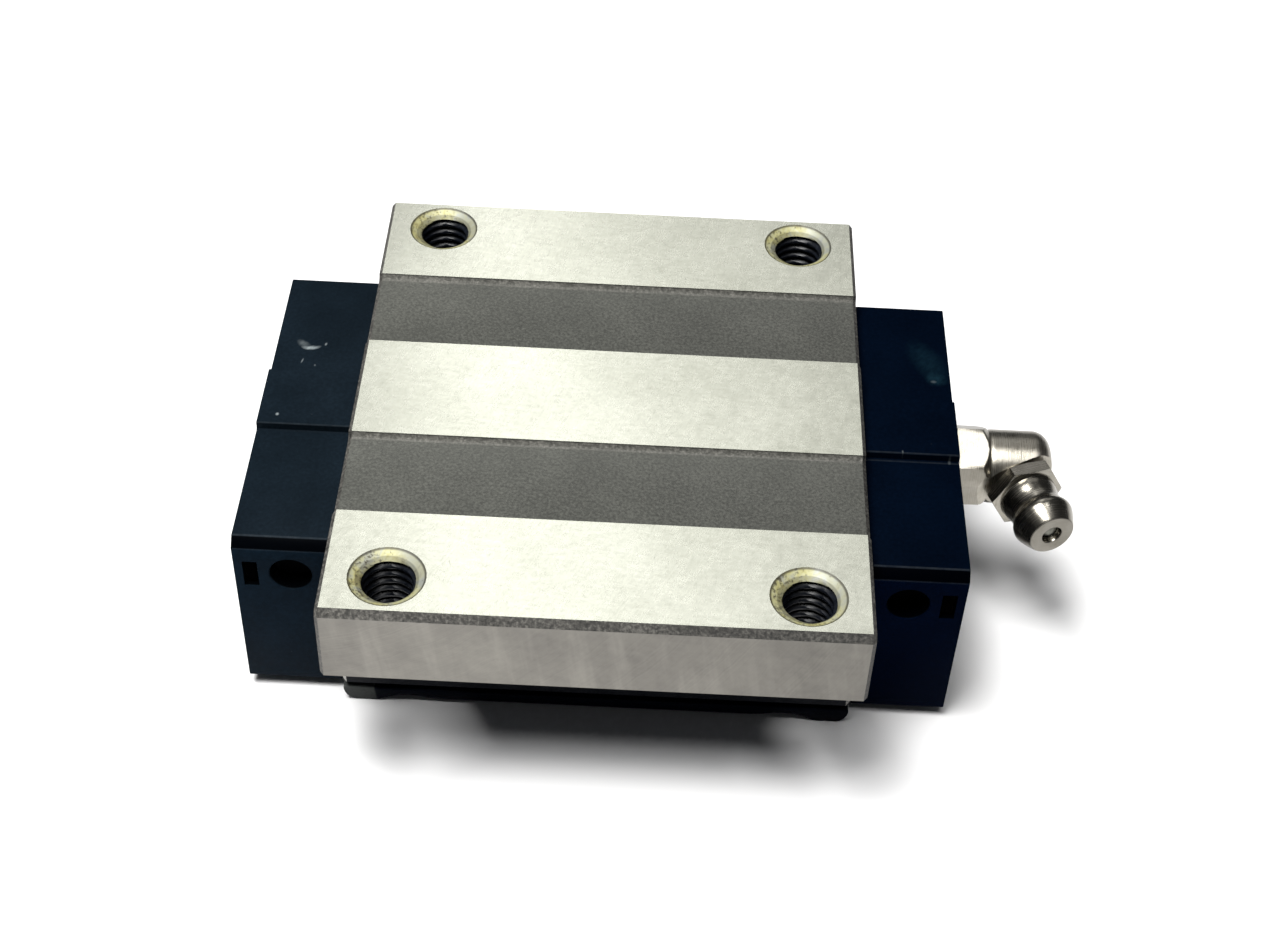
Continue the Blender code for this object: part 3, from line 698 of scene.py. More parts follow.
def black_oxide():
    m = Mat("black_oxide_steel")
    n = m.noise(2.0, 4, 0.6)
    base = m.ramp(n, [(0.3, (0.018, 0.018, 0.020)), (0.7, (0.06, 0.06, 0.064))])
    m.set(Base_Color=base, Metallic=0.85, Roughness=m.span(n, 0.3, 0.7, 0.28, 0.45))
    m.set(Normal=m.bump(m.noise(6.0, 2, 0.6), 0.2, 0.03))
    return m.m


def polished_ball(name="polished_ball_steel", light=(0.62, 0.62, 0.61), dark=(0.46, 0.46, 0.45),
                  rough=0.16):
    m = Mat(name)
    n = m.noise(1.4, 3, 0.6)
    base = m.ramp(n, [(0.3, dark), (0.7, light)])
    m.set(Base_Color=base, Metallic=1.0, Roughness=m.span(n, 0.3, 0.7, rough, rough + 0.1))
    m.set(Normal=m.bump(m.noise(5.0, 2, 0.5), 0.04, 0.02))
    return m.m


M_PAD = ground_steel("ground_steel_top", (0.82, 0.83, 0.72), (0.56, 0.57, 0.48), 0.24,
                     (-150.0, 60.0, 0.0), 18, 0.5, 0.0, 0.8)
# painted shade: the front side face is the pads' ground steel given a far darker colour
M_SIDE_SHADED = ground_steel("ground_steel_side_painted_shade", (0.232, 0.222, 0.198), (0.160, 0.152, 0.139), 0.34,
                      (-36.0, -31.0, 26.0), 80, 0.0, 0.24)
M_END = ground_steel("milled_steel_end", (0.46, 0.45, 0.42), (0.30, 0.295, 0.28), 0.45,
                     (0.0, 70.0, 0.0), 45)
M_BAND = blasted_steel("blasted_steel", (0.0710, 0.0728, 0.0635), (0.1045, 0.1065, 0.0935), 0.7, 3.3,
                       0.30, 0.82, 0.66)
# painted light: a lighter copy of the blasted steel for the band walls that face the front
M_WALL_LIT = blasted_steel("blasted_wall_painted_light", (0.155, 0.153, 0.136), (0.28, 0.27, 0.245), 0.8, 3.2,
                       0.30, 0.80, 0.6, True)
M_CHAMFER = blasted_steel("blasted_chamfer", (0.071, 0.068, 0.061), (0.170, 0.162, 0.146), 0.8,
                          3.0, 0.25, 0.57, 0.4)
M_SINK = sink_steel()
M_THREAD = dark_thread()
M_LEG = leg_steel_painted_shade()
M_RACE = raceway_steel()
# painted light and shade: both end caps are one black resin, the left given a lighter colour, the
# right a darker one
CAP_L_PAINTED_LIGHT, CAP_R_PAINTED_SHADE = (0.0048, 0.0084, 0.0124), (0.0005, 0.0019, 0.0056)
M_CAP_L = resin("cap_resin_left_painted_light", CAP_L_PAINTED_LIGHT, 0.42, 0.010, 0.10,
                ((-33.55, 9.35, -3.1, 0.95, 0.55, 34, 0.25, 0.22, 0.5),
                 (-32.6, 8.72, -3.1, 1.15, 0.36, -6, 0.65, 0.75, 0.55),
                 (-31.1, 9.45, -3.1, 0.16, 0.34, 10, 0.0, 0.40, 0.1),
                 (-33.25, 6.6, -3.1, 0.11, 0.45, 12, 0.0, 0.32, 0.1),
                 (-31.8, 6.0, -3.1, 0.14, 0.22, 0, 0.0, 0.18, 0.1),
                 (-34.35, -2.75, -2.2, 0.22, 0.26, 0, 0.0, 0.6, 0.1)),
                ((-4.1, -2.2, 0.14, 0.055), (-19.2, -3.1, 0.15, 0.07), (-20.2, -4.1, 0.12, 0.03)),
                True, (0.69, 1.0, 1.21))
M_CAP_R = resin("cap_resin_right_painted_shade", CAP_R_PAINTED_SHADE, 0.42, 0.003, 0.10,
                ((34.1, 11.2, -3.1, 2.0, 4.1, -24, 0.0, 0.034, 0.75),
                 (34.8, 8.5, -3.1, 1.4, 1.2, 38, 0.0, 0.05, 0.8),
                 (34.5, 8.1, -3.1, 0.40, 0.28, 0, 0.0, 0.15, 0.6),
                 (30.4, -3.9, -2.7, 0.12, 0.3, 0, 0.0, 0.18, 0.2),
                 (35.3, -4.35, -2.95, 0.20, 0.3, 0, 0.0, 0.12, 0.3)),
                ((-4.05, -2.2, 0.14, 0.05), (-4.42, -3.1, 0.14, 0.04),
                 (-19.2, -3.1, 0.15, 0.06), (-20.2, -4.1, 0.12, 0.03)), True,
                (0.4, 1.0, 1.5))
M_SEAL = resin("seal_resin", (0.0026, 0.0034, 0.0060), 0.46, 0.03, painted_hollow_shade=True)
M_VOID = resin("shaded_resin", (0.0003, 0.0003, 0.0005), 0.7, 0.0)
M_SKIRT = resin("skirt_resin", (0.0018, 0.0028, 0.0062), 0.5, 0.02, painted_lit_end=-23.1)
M_INNER = resin("retainer_resin", (0.035, 0.037, 0.040), 0.5, 0.14)
M_RUBBER = rubber()
M_ADAPTER = plated("nickel_adapter", (1, 0, 0), (0, 0, 0), 0.27, 0.8, 0.4, 0.84)
# painted light and shade: one nickel hexagon, a lighter copy for its upward facets and a darker one
# for the rest
M_HEX_LIT = plated("nickel_hexagon_painted_light", (1, 0, 0), (0, 0, 0), 0.27, 0.12, 0.12, 1.30)
M_HEX_SHADED = plated("nickel_hexagon_painted_shade", (1, 0, 0), (0, 0, 0), 0.30, 0.12, 0.3, 0.68)
M_NIPPLE = plated("nickel_nipple", ARM, ELBOW, 0.19, 0.30, 0.5, 0.68)
M_TIP = plated("worn_nickel_tip", (0, 0, 1), ELBOW, 0.36, 0.3, 0.8, 0.50)
M_OXIDE = black_oxide()
M_BALL = polished_ball()
M_CHECK = polished_ball("greasy_ball_steel", (0.24, 0.24, 0.21), (0.14, 0.14, 0.12), 0.38)
M_SPRING = plated("spring_wire", (0, 0, 1), (0, 0, 0), 0.25, 0.1)


def give(obj, *mats):
    obj.data.materials.clear()
    for m in mats:
        obj.data.materials.append(m)
    return obj


def piece(obj, body, slot, *nodes):
    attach(obj, body)
    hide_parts(*nodes)
    return obj


# ---------------------------------------------------------------------------
# steel block
# ---------------------------------------------------------------------------


def raceway(cy, cz, r=1.9, steps=14):
    limit = math.acos((CHANNEL_HALF - cy) / r)
    return [(cy + r * math.cos(-limit + 2 * limit * k / steps),
             cz + r * math.sin(-limit + 2 * limit * k / steps)) for k in range(steps + 1)]


def block_outline():
    half = [(PAD_HALF, 0), (PAD_HALF + 0.12, -0.42), (PAD_HALF + 0.28, -0.60),
            (PAD_HALF + 0.5, -BAND_DEPTH),
            (PAD_INNER - 0.5, -BAND_DEPTH), (PAD_INNER - 0.28, -0.60),
            (PAD_INNER - 0.12, -0.42), (PAD_INNER, 0),
            (FLANGE_HALF - 0.7, 0), (FLANGE_HALF, -0.7),
            (FLANGE_HALF, -FLANGE_DEPTH + 0.3), (FLANGE_HALF - 0.3, -FLANGE_DEPTH),
            (LEG_OUTER + 0.6, -FLANGE_DEPTH), (LEG_OUTER + 0.17, -FLANGE_DEPTH - 0.17),
            (LEG_OUTER, -FLANGE_DEPTH - 0.6),
            (LEG_OUTER, -LEG_BOTTOM + 0.6), (LEG_OUTER - 0.6, -LEG_BOTTOM),
            (CHANNEL_HALF + 0.6, -LEG_BOTTOM), (CHANNEL_HALF, -LEG_BOTTOM + 0.6)]
    half += raceway(*CIRCUITS["lower"][:2]) + raceway(*CIRCUITS["upper"][:2])
    half += [(CHANNEL_HALF, -CHANNEL_CEILING - 0.4), (CHANNEL_HALF - 0.4, -CHANNEL_CEILING)]
    return mirrored(half)


def end_rings(bm, outline, half, w):
    rings = []
    for t, o in ((-half, w), (-half + w, 0), (half - w, 0), (half, w)):
        pts = inset_outline(outline, o) if o else outline
        rings.append([bm.verts.new((t, a, b)) for a, b in pts])
    skin(bm, rings)
    bm.faces.new(rings[0])
    bm.faces.new(rings[-1])


bm = bmesh.new()
end_rings(bm, block_outline(), BLOCK_LENGTH / 2, 0.38)
block = to_object("block_steel", bm)


def hole_limits(s):
    """Radius limits down an M6 hole: the countersink, then the free thread."""
    sink = 3.775 - 1.70 * s
    out = 2.5 + max(0.0, s - (FLANGE_DEPTH - 0.45)) * 1.4
    low = max(0.0, sink, out)
    return (max(low, 2.45), max(3.02, low))


bm = bmesh.new()
for sx in (-1, 1):
    for sy in (-1, 1):
        threaded(bm, (sx * HOLE_X, sy * HOLE_Y, 0), (0, 0, -1), -0.4, FLANGE_DEPTH + 0.6,
                 2.46, 3.02, 1.0, hole_limits, count=40, steps=9, hand=-1)
cut(block, bm)

bm = bmesh.new()
for level, (ly, lz, ry, rz) in CIRCUITS.items():
    for sy in (-1, 1):
        turned(bm, [(-27.5, 0), (-27.5, 2.1), (27.5, 2.1), (27.5, 0)],
               (0, sy * ry, rz), (1, 0, 0), 28)
cut(block, bm)

bm = bmesh.new()
for end in (-1, 1):
    for y, z in SCREW_SITES:
        for sy in (-1, 1):
            turned(bm, [(-0.5, 0), (-0.5, 1.35), (7.2, 1.35), (7.8, 0)],
                   (end * BLOCK_LENGTH / 2, sy * y, z), (-end, 0, 0), 20)
cut(block, bm)

give(block, M_PAD, M_SIDE_SHADED, M_END, M_BAND, M_CHAMFER, M_SINK, M_THREAD, M_LEG, M_RACE, M_WALL_LIT)
mesh = block.data
for f in mesh.polygons:
    c = f.center / MM
    n = f.normal
    r_hole = math.hypot(abs(c.x) - HOLE_X, abs(c.y) - HOLE_Y)
    y = abs(c.y)
    if r_hole < 3.80 and -9.6 < c.z < -0.005 and abs(n.z) < 0.999:
        f.material_index = 5 if (c.z > -0.80 and n.z > 0.35) else 6
    elif abs(n.x) > 0.5 and abs(c.x) > 25.5:
        f.material_index = 4 if (abs(n.x) < 0.95 and c.z > -9.0) else 2
    elif n.z > 0.9 and c.z > -0.01:
        f.material_index = 0
    elif c.z > -0.68 and y < PAD_INNER + 0.1:
        # band walls facing the front take the lighter copy: painted light
        f.material_index = 9 if n.y < -0.2 else 3
    elif y > 30.79 and c.z > -0.72:
        f.material_index = 4
    elif y > 31.4:
        f.material_index = 1
    elif y < 13.5 and c.z < -11.0 and c.z > -22.2 and abs(n.z) < 0.995:
        f.material_index = 8
    else:
        f.material_index = 7
piece(block, "carriage", "ground_steel", "carriage_block")

# ---------------------------------------------------------------------------
# circuits
# ---------------------------------------------------------------------------


class Circuit:
    def __init__(self, level, side):
        ly, lz, ry, rz = CIRCUITS[level]
        self.loaded = Vector((0, side * ly, lz))
        self.back = Vector((0, side * ry, rz))
        gap = self.back - self.loaded
        self.radius = gap.length / 2
        self.e = gap.normalized()
        self.normal = Vector((1, 0, 0)).cross(self.e)
        self.middle = (self.loaded + self.back) / 2
        self.pitch = (4 * TURN_X + 2 * math.pi * self.radius) / BALLS_PER_CIRCUIT

    def turn_point(self, end, angle):
        x = Vector((end, 0, 0))
        centre = self.middle + Vector((end * TURN_X, 0, 0))
        return centre + (x * math.sin(angle) - self.e * math.cos(angle)) * self.radius


circuits = {(lv, sd): Circuit(lv, sg)
            for sd, sg in (("front", -1), ("rear", 1)) for lv in CIRCUITS}


def balls(name, centres, body, node):
    bm = bmesh.new()
    for c in centres:
        bmesh.ops.create_uvsphere(bm, u_segments=28, v_segments=18, radius=BALL_R,
                                  matrix=Matrix.Translation(c))
    obj = to_object(name, bm, 80)
    give(obj, M_BALL)
    piece(obj, body, "ball_steel", node)


for (level, side), c in circuits.items():
    tag = side + "_" + level
    xs = [(i - (BALLS_PER_ROW - 1) / 2) * c.pitch for i in range(BALLS_PER_ROW)]
    balls("loaded_balls_" + tag, [c.loaded + Vector((x, 0, 0)) for x in xs],
          "loaded_row_" + tag, "balls_loaded_" + tag)
    balls("return_balls_" + tag, [c.back + Vector((x, 0, 0)) for x in xs],
          "return_row_" + tag, "balls_return_" + tag)
    step = c.pitch / c.radius
    angles = [math.pi / 2 + (i - (BALLS_PER_TURN - 1) / 2) * step for i in range(BALLS_PER_TURN)]
    for end, word in ((-1, "left"), (1, "right")):
        balls("turn_balls_%s_%s" % (word, tag), [c.turn_point(end, a) for a in angles],
              "turn_%s_%s" % (word, tag), "balls_turn_%s_%s" % (word, tag))
        # half pulley with a rim hollowed to the balls
        bm = bmesh.new()
        centre = c.middle + Vector((end * TURN_X, 0, 0))
        x = Vector((end, 0, 0))
        limit = math.radians(74)
        rings = []
        profile = []
        for k in range(13):
            t = -1.75 + 3.5 * k / 12
            profile.append((c.radius - math.sqrt(2.06 ** 2 - t * t), t))
        profile += [(0.45, 1.75), (0.45, -1.75)]
        for k in range(17):
            a = -limit + 2 * limit * k / 16
            out = x * math.cos(a) + c.e * math.sin(a)
            rings.append([bm.verts.new(centre + x * 0.36 + out * r * 0.93 + c.normal * t)
                          for r, t in profile])
        skin(bm, rings)
        bm.faces.new(rings[0])
        bm.faces.new(rings[-1])
        obj = to_object("pulley_%s_%s" % (word, tag), bm)
        give(obj, M_INNER)
        piece(obj, "carriage", "inner_resin", "turn_guide_%s_%s" % (word, tag))

# ---------------------------------------------------------------------------
# ball retainers
# ---------------------------------------------------------------------------
bm = bmesh.new()
chamfered_prism(bm, [(-9.0, -11.5), (9.0, -11.5), (9.2, -11.7), (9.2, -12.0), (8.85, -12.3),
                     (-8.85, -12.3), (-9.2, -12.0), (-9.2, -11.7)], along_x, -26.0, 26.0, 0.15)
obj = to_object("retainer_top", bm)
bm = bmesh.new()
for k in range(-2, 3):
    prism(bm, [(k * 9.6 - 2.6, -5.2), (k * 9.6 + 2.6, -5.2), (k * 9.6 + 2.6, 5.2),
               (k * 9.6 - 2.6, 5.2)], lambda a, b, t: (a, b, t), -12.5, -12.02)
cut(obj, bm)
give(obj, M_INNER)
piece(obj, "carriage", "inner_resin", "top_ball_retainer")
for sy, word in ((-1, "front"), (1, "rear")):
    bm = bmesh.new()
    pts = [(10.9, -17.3), (10.9, -15.8), (10.2, -15.82), (9.75, -15.68), (9.6, -15.75),
           (9.6, -17.35), (9.75, -17.42), (10.2, -17.28)]
    chamfered_prism(bm, [(sy * a, b) for a, b in pts], along_x, -26.0, 26.0, 0.12)
    obj = to_object("retainer_side_" + word, bm)
    give(obj, M_INNER)
    piece(obj, "carriage", "inner_resin", "side_ball_retainer_" + word)

# ---------------------------------------------------------------------------
# bottom seals
# ---------------------------------------------------------------------------
for sy, word in ((-1, "front"), (1, "rear")):
    bm = bmesh.new()
    section = [(21.6, -23.05), (21.6, -24.8), (10.7, -24.8), (10.25, -24.4), (9.85, -24.0),
               (9.7, -21.4), (10.1, -21.4), (10.9, -21.55), (10.9, -22.95), (21.5, -22.95)]
    prism(bm, [(sy * y, z) for y, z in section], along_x, -26.3, 26.3)
    obj = to_object("seal_bottom_" + word, bm)
    bm = bmesh.new()
    half = [(16.2, -24.2), (17.6, -24.05), (18.6, -23.85), (19.6, -23.78), (20.6, -23.85),
            (21.7, -24.2), (22.7, -24.7), (23.3, -24.83), (23.3, -26.0)]
    prism(bm, [(-x, z) for x, z in reversed(half)] + half, along_y, sy * 8, sy * 24)
    for end in (-1, 1):
        corner = [(26.9, -23.0), (26.31, -23.3), (26.2, -23.75), (25.95, -24.25),
                  (25.55, -24.62), (25.0, -24.83), (25.0, -26.0), (26.9, -26.0)]
        prism(bm, [(end * x, z) for x, z in corner], along_y, sy * 8, sy * 24)
    cut(obj, bm)
    soften(obj, 0.14, 2, 40)
    give(obj, M_SKIRT)
    piece(obj, "carriage", "seal_resin", "bottom_seal_" + word)

# ---------------------------------------------------------------------------
# end caps, seals, lips and screws
# ---------------------------------------------------------------------------


def hex_hole(bm, origin, direction, s0, s1, flats, phase=0.0):
    r = flats / 2 / math.cos(math.pi / 6)
    turned(bm, [(s0, 0), (s0, r), (s1, r), (s1, 0)], origin, direction, 6, phase)


for end, word in ((-1, "left"), (1, "right")):
    halves = [[(STRIP_HALF - 0.05, -STRIP_TOP), (STRIP_HALF + 0.03, -STRIP_TOP - 0.1),
               (STRIP_HALF + 0.1, -CAP_TOP + 0.12), (STRIP_HALF + 0.25, -CAP_TOP),
               (CAP_HALF - c - 0.08, -CAP_TOP), (CAP_HALF - c + 0.06, -CAP_TOP - 0.06),
               (CAP_HALF - 0.06, -CAP_TOP - c + 0.06), (CAP_HALF, -CAP_TOP - c - 0.08),
               (CAP_HALF, -CAP_BOTTOM + 0.17), (CAP_HALF - 0.05, -CAP_BOTTOM + 0.05),
               (CAP_HALF - 0.17, -CAP_BOTTOM),
               (11.4, -CAP_BOTTOM), (10.7, -CAP_BOTTOM + 0.7), (10.7, -12.0), (10.4, -11.7)]
              for c in (CAP_REAR_CHAMFER, CAP_CHAMFER)]
    outline = halves[0] + [(-y, z) for y, z in reversed(halves[1])]
    bm = bmesh.new()
    chamfered_prism(bm, outline, along_x, end * CAP_INNER, end * CAP_OUTER, 0.12, 2)
    cap = to_object("cap_" + word, bm)

    bm = bmesh.new()
    for c in circuits.values():
        reach, width = c.radius + BALL_R + 0.3, BALL_R + 0.3
        centre = c.middle + Vector((end * TURN_X, 0, 0))
        x = Vector((end, 0, 0))
        pts = [(-0.8, -reach)] + [(reach * math.cos(-math.pi / 2 + math.pi * k / 24),
                                   reach * math.sin(-math.pi / 2 + math.pi * k / 24))
                                  for k in range(25)] + [(-0.8, reach)]
        prism(bm, pts, lambda a, b, t, c=c, centre=centre, x=x:
              centre + x * a + c.e * b + c.normal * t, -width, width)
    cut(cap, bm)

    bm = bmesh.new()
    prism(bm, fillet([(-19.0, -22.2), (-19.0, -4.4), (19.0, -4.4), (19.0, -22.2)],
                     {1: 0.8, 2: 0.8}), along_x, end * RECESS_X, end * (CAP_OUTER + 0.6))
    cut(cap, bm)

    bm = bmesh.new()
    x_in, x_out = CAP_INNER - 0.6, RECESS_X + 0.4
    for y, z in SCREW_SITES:
        for sy in (-1, 1):
            turned(bm, [(x_in, 0), (x_in, 1.35), (32.4, 1.35), (32.4, 2.3), (x_out, 2.3),
                        (x_out, 0)], (0, sy * y, z), (end, 0, 0), 28)
    turned(bm, [(x_in, 0), (x_in, 1.5), (29.0, 1.5), (29.0, 3.0), (x_out, 3.0), (x_out, 0)],
           GREASE, (end, 0, 0), 36)
    for sy in (-1, 1):
        turned(bm, [(0, 0), (0.25, 1.6), (0.45, PORT_R), (2.25, PORT_R), (2.42, PORT_R + 0.12),
                    (4, PORT_R + 0.12), (4, 0)],
               (end * PORT_X, sy * PORT_FLOOR, PORT_Z), (0, sy, 0), 40)
        prism(bm, fillet([(end * WINDOW_X[0], WINDOW_Z[0]), (end * WINDOW_X[1], WINDOW_Z[0]),
                          (end * WINDOW_X[1], WINDOW_Z[1]), (end * WINDOW_X[0], WINDOW_Z[1])],
                         {0: 0.07, 1: 0.07, 2: 0.07, 3: 0.07}, 3),
              along_y, sy * 18.5, sy * 21.0)
    cut(cap, bm)
    # the left cap takes the lighter copy, the right the darker one: painted light and shade
    give(cap, M_CAP_L if end < 0 else M_CAP_R)
    piece(cap, "carriage", "black_resin", "end_cap_" + word)

    # end seal plate
    half = [(18.0, -4.7), (18.5, -4.9), (18.7, -5.4), (18.7, -6.2), (19.7, -6.2),
            (19.7, -9.05), (18.7, -9.05), (18.7, -21.9), (11.6, -21.9), (11.6, -11.3),
            (11.3, -11.0)]
    bm = bmesh.new()
    chamfered_prism(bm, mirrored(half), along_x, end * SEAL_X[0], end * SEAL_X[1], 0.15)
    plate = to_object("seal_plate_" + word, bm)
    bm = bmesh.new()
    for y, z in SCREW_SITES:
        for sy in (-1, 1):
            turned(bm, [(33, 0), (33, 2.35), (35.75, 2.35), (36.05, 2.65), (37, 2.65), (37, 0)],
                   (0, sy * y, z), (end, 0, 0), 32)
    turned(bm, [(33, 0), (33, 3.05), (35.7, 3.05), (36.05, 3.4), (37, 3.4), (37, 0)],
           GREASE, (end, 0, 0), 40)
    for sy in (-1, 1):
        prism(bm, [(end * 35.15, -9.5), (end * 36.5, -9.5), (end * 36.5, -5.7),
                   (end * 35.15, -5.7)], along_y, sy * 18.702, sy * 20.5)
    # shallow panel around the channel
    cut(plate, bm)
    bm = bmesh.new()
    panel = [(16.2, -10.2), (16.2, -17.6), (13.4, -17.6), (13.4, -10.2)]
    for sy in (-1, 1):
        prism(bm, fillet([(sy * a, b) for a, b in panel], {0: 0.6, 1: 0.6, 2: 0.6, 3: 0.6}, 3),
              along_x, end * 35.55, end * 36.4)
    cut(plate, bm)
    give(plate, M_SEAL, M_VOID)
    for f in plate.data.polygons:
        f.material_index = 1 if abs(f.center.y / MM) > 18.72 else 0
    piece(plate, "carriage", "seal_resin", "end_seal_" + word)

    # rubber lip: tapers towards the rail
    outer = [(11.3, -11.3), (11.3, -21.9)]
    inner = [(10.15, -21.9), (10.15, -20.8), (9.6, -20.5), (9.15, -19.9), (9.05, -19.3),
             (9.15, -18.7), (9.6, -18.1), (10.15, -17.8), (10.15, -15.3), (9.6, -15.0),
             (9.15, -14.4), (9.05, -13.8), (9.15, -13.3), (9.7, -12.9), (10.1, -12.75),
             (9.8, -12.45)]
    lip = mirrored(outer + inner)
    bm = bmesh.new()
    chamfered_prism(bm, lip, along_x, end * SEAL_X[0], end * (SEAL_X[1] + 0.2), 0.2, 3)
    obj = to_object("rail_lip_" + word, bm)
    give(obj, M_RUBBER)
    piece(obj, "carriage", "seal_rubber", "seal_lip_" + word)

    number = 0
    for y, z in SCREW_SITES:
        for sy in (-1, 1):
            number += 1
            bm = bmesh.new()
            threaded(bm, (0, sy * y, z), (end, 0, 0), 19.5, 31.5, 0.92, 1.18, 0.45,
                     lambda s: (0.5, max(0.5, min(1.18, 0.75 + (s - 19.5) * 1.2,
                                                  0.75 + (31.5 - s) * 1.2 + 0.25))),
                     count=20, steps=6)
            obj = to_object("screw_%s_%d" % (word, number), bm, 60)
            bm = bmesh.new()
            turned(bm, [(31.2, 0), (31.2, 1.05), (SCREW_SEAT, 1.05), (SCREW_SEAT, 1.92),
                        (SCREW_SEAT + 0.08, 2.0), (33.45, 2.0), (33.62, 1.95), (33.75, 1.82),
                        (33.8, 1.65), (33.8, 0)], (0, sy * y, z), (end, 0, 0), 36)
            combine(obj, bm, 'UNION')
            bm = bmesh.new()
            hex_hole(bm, (0, sy * y, z), (end, 0, 0), 33.0, 34.2, 1.9)
            cut(obj, bm)
            give(obj, M_OXIDE)
            piece(obj, "carriage", "dark_steel", "cap_screw_%s_%d" % (word, number))

# ---------------------------------------------------------------------------
# plug screw in the left cap's grease port
# ---------------------------------------------------------------------------
bm = bmesh.new()
threaded(bm, GREASE, (-1, 0, 0), 29.5, 35.3, 2.4, 2.88, 0.75,
         lambda s: (1.0, max(1.0, min(2.88, 2.35 + (s - 29.5), 2.45 + (35.3 - s) * 1.2))),
         count=44, steps=8)
obj = to_object("plug_screw", bm, 50)
bm = bmesh.new()
hex_hole(bm, GREASE, (-1, 0, 0), 33.4, 36.0, 3.0)
cut(obj, bm)
give(obj, M_OXIDE)
piece(obj, "carriage", "dark_steel", "port_plug")

# ---------------------------------------------------------------------------
# grease fitting
# ---------------------------------------------------------------------------


def radial(bm, rows, origin, direction, count=96, loop=False):
    """One closed surface round an axis. Each row is (s, radius), where radius
    is a number or a function of the angle; a radius of 0 closes an end, and
    loop joins the last row to the first, which makes a tube."""
    d, u, v = frame_of(direction)
    origin = Vector(origin)
    rings = []
    for s, r in rows:
        c = origin + d * s
        if r == 0:
            rings.append([bm.verts.new(c)])
            continue
        f = r if callable(r) else (lambda a, r=r: r)
        rings.append([bm.verts.new(c + (u * math.cos(a) + v * math.sin(a)) * f(a))
                      for a in (2 * math.pi * k / count for k in range(count))])
    if loop:
        rings.append(rings[0])
    skin(bm, rings)


def hexagon(flats, phase):
    """Radius of a hexagon whose corners start at phase."""
    def f(a):
        t = (a - phase) % (math.pi / 3) - math.pi / 6
        return flats / 2 / math.cos(t)
    return f


def nut_rows(s0, s1, flats, phase, corner, low, high, steps=10):
    """A hexagon whose corners are turned off at both ends: low and high are
    the lengths over which its corner circle grows from the flats' circle."""
    hx = hexagon(flats, phase)
    rows = []

    def row(s, limit):
        rows.append((s, lambda a, limit=limit: min(hx(a), limit)))

    for k in range(steps + 1):
        row(s0 + low * k / steps, flats / 2 - 0.12 + (corner - flats / 2 + 0.12) * k / steps)
    for k in range(steps + 1):
        row(s1 - high * (1 - k / steps),
            corner - (corner - flats / 2 + 0.16) * k / steps)
    return rows


def thread_rows(s0, s1, minor, major, pitch, limits, steps=8, hand=1):
    rows = []
    n = max(2, int(round((s1 - s0) / pitch * steps)))
    for i in range(n + 1):
        s = s0 + (s1 - s0) * i / n
        lo, hi = limits(s)

        def f(a, s=s, lo=lo, hi=hi):
            t = (s / pitch - hand * a / (2 * math.pi)) % 1.0
            if t < 0.125:
                h = 1.0
            elif t < 0.4375:
                h = 1.0 - (t - 0.125) / 0.3125
            elif t < 0.6875:
                h = 0.0
            else:
                h = (t - 0.6875) / 0.3125
            return min(max(minor + (major - minor) * h, lo), hi)
        rows.append((s, f))
    return rows


# adapter: bored and threaded stub, neck, hexagon with turned corners, body
rows = [(ELBOW_X - 0.6, 0), (ELBOW_X - 0.6, 1.0), (29.6, 1.0)]
rows += thread_rows(29.6, 35.9, 2.4, 2.86, 0.75,
                    lambda s: (1.2, max(1.2, min(2.86, 2.2 + (s - 29.6) * 1.1))))
rows += [(35.95, 2.6), (36.45, 2.6)]
rows += nut_rows(36.45, 40.0, 8.0, -math.radians(HEX_TILT), 4.61, 0.06, 0.85)
rows += [(40.0, 3.78), (40.1, 3.84), (40.22, 3.88), (40.35, 3.90)]
rows += [(40.35 + (44.7 - 40.35) * k / 16, 3.90) for k in range(1, 17)]
for k in range(1, 16):
    a = math.pi / 2 * k / 16
    rows.append((44.7 + 2.15 * math.sin(a), 3.9 * math.cos(a) ** 0.62))
rows.append((46.85, 0))
bm = bmesh.new()
radial(bm, rows, GREASE, (1, 0, 0), 120)
adapter = to_object("elbow_adapter", bm)
bm = bmesh.new()
turned(bm, [(0.9, 0), (0.9, 2.2), (2.37, 2.2), (2.45, 2.28), (2.45, 4.9), (6.5, 4.9), (6.5, 0)],
       ELBOW, ARM, 64)
cut(adapter, bm)
give(adapter, M_ADAPTER, M_HEX_LIT, M_HEX_SHADED)
for f in adapter.data.polygons:
    c = f.center / MM
    # upward hexagon facets take the lighter copy, the rest the darker one: painted light and shade
    if 36.4 < c.x < 39.99 and abs(f.normal.x) < 0.3 and math.hypot(c.y, c.z - GREASE_Z) > 3.7:
        f.material_index = 1 if f.normal.z > 0.6 and f.normal.y < 0.3 else 2
piece(adapter, "carriage", "nickel_plate", "grease_adapter")

# nipple: spigot, hexagon, turned head and seat, one surface inside and out
rows = [(9.4, 1.5), (0.9, 1.5), (0.9, 1.7), (1.1, 1.88), (2.7, 1.88), (2.76, 2.6), (3.05, 2.7)]
rows += nut_rows(3.05, 4.6, 7.0, math.pi / 6, 4.02, 0.16, 0.18)
rows += [(4.6, 3.1), (4.66, 3.03), (4.8, 3.01), (5.1, 3.0), (5.35, 2.97), (5.6, 2.92),
         (5.95, 2.85), (6.3, 2.80), (6.65, 2.79), (6.95, 2.81), (7.25, 2.90), (7.5, 3.02),
         (7.75, 3.14), (8.0, 3.22), (8.25, 3.25), (8.5, 3.22), (8.75, 3.14), (9.1, 3.00),
         (9.5, 2.84), (9.9, 2.65), (10.15, 2.52), (10.3, 2.44), (10.38, 2.36), (10.4, 2.24),
         (10.4, 1.20), (10.37, 1.12), (10.30, 1.07), (10.20, 1.03), (10.08, 1.00), (9.92, 0.94),
         (9.75, 0.88)]
bm = bmesh.new()
radial(bm, rows, ELBOW, ARM, 96, loop=True)
nipple = to_object("nipple_body", bm)
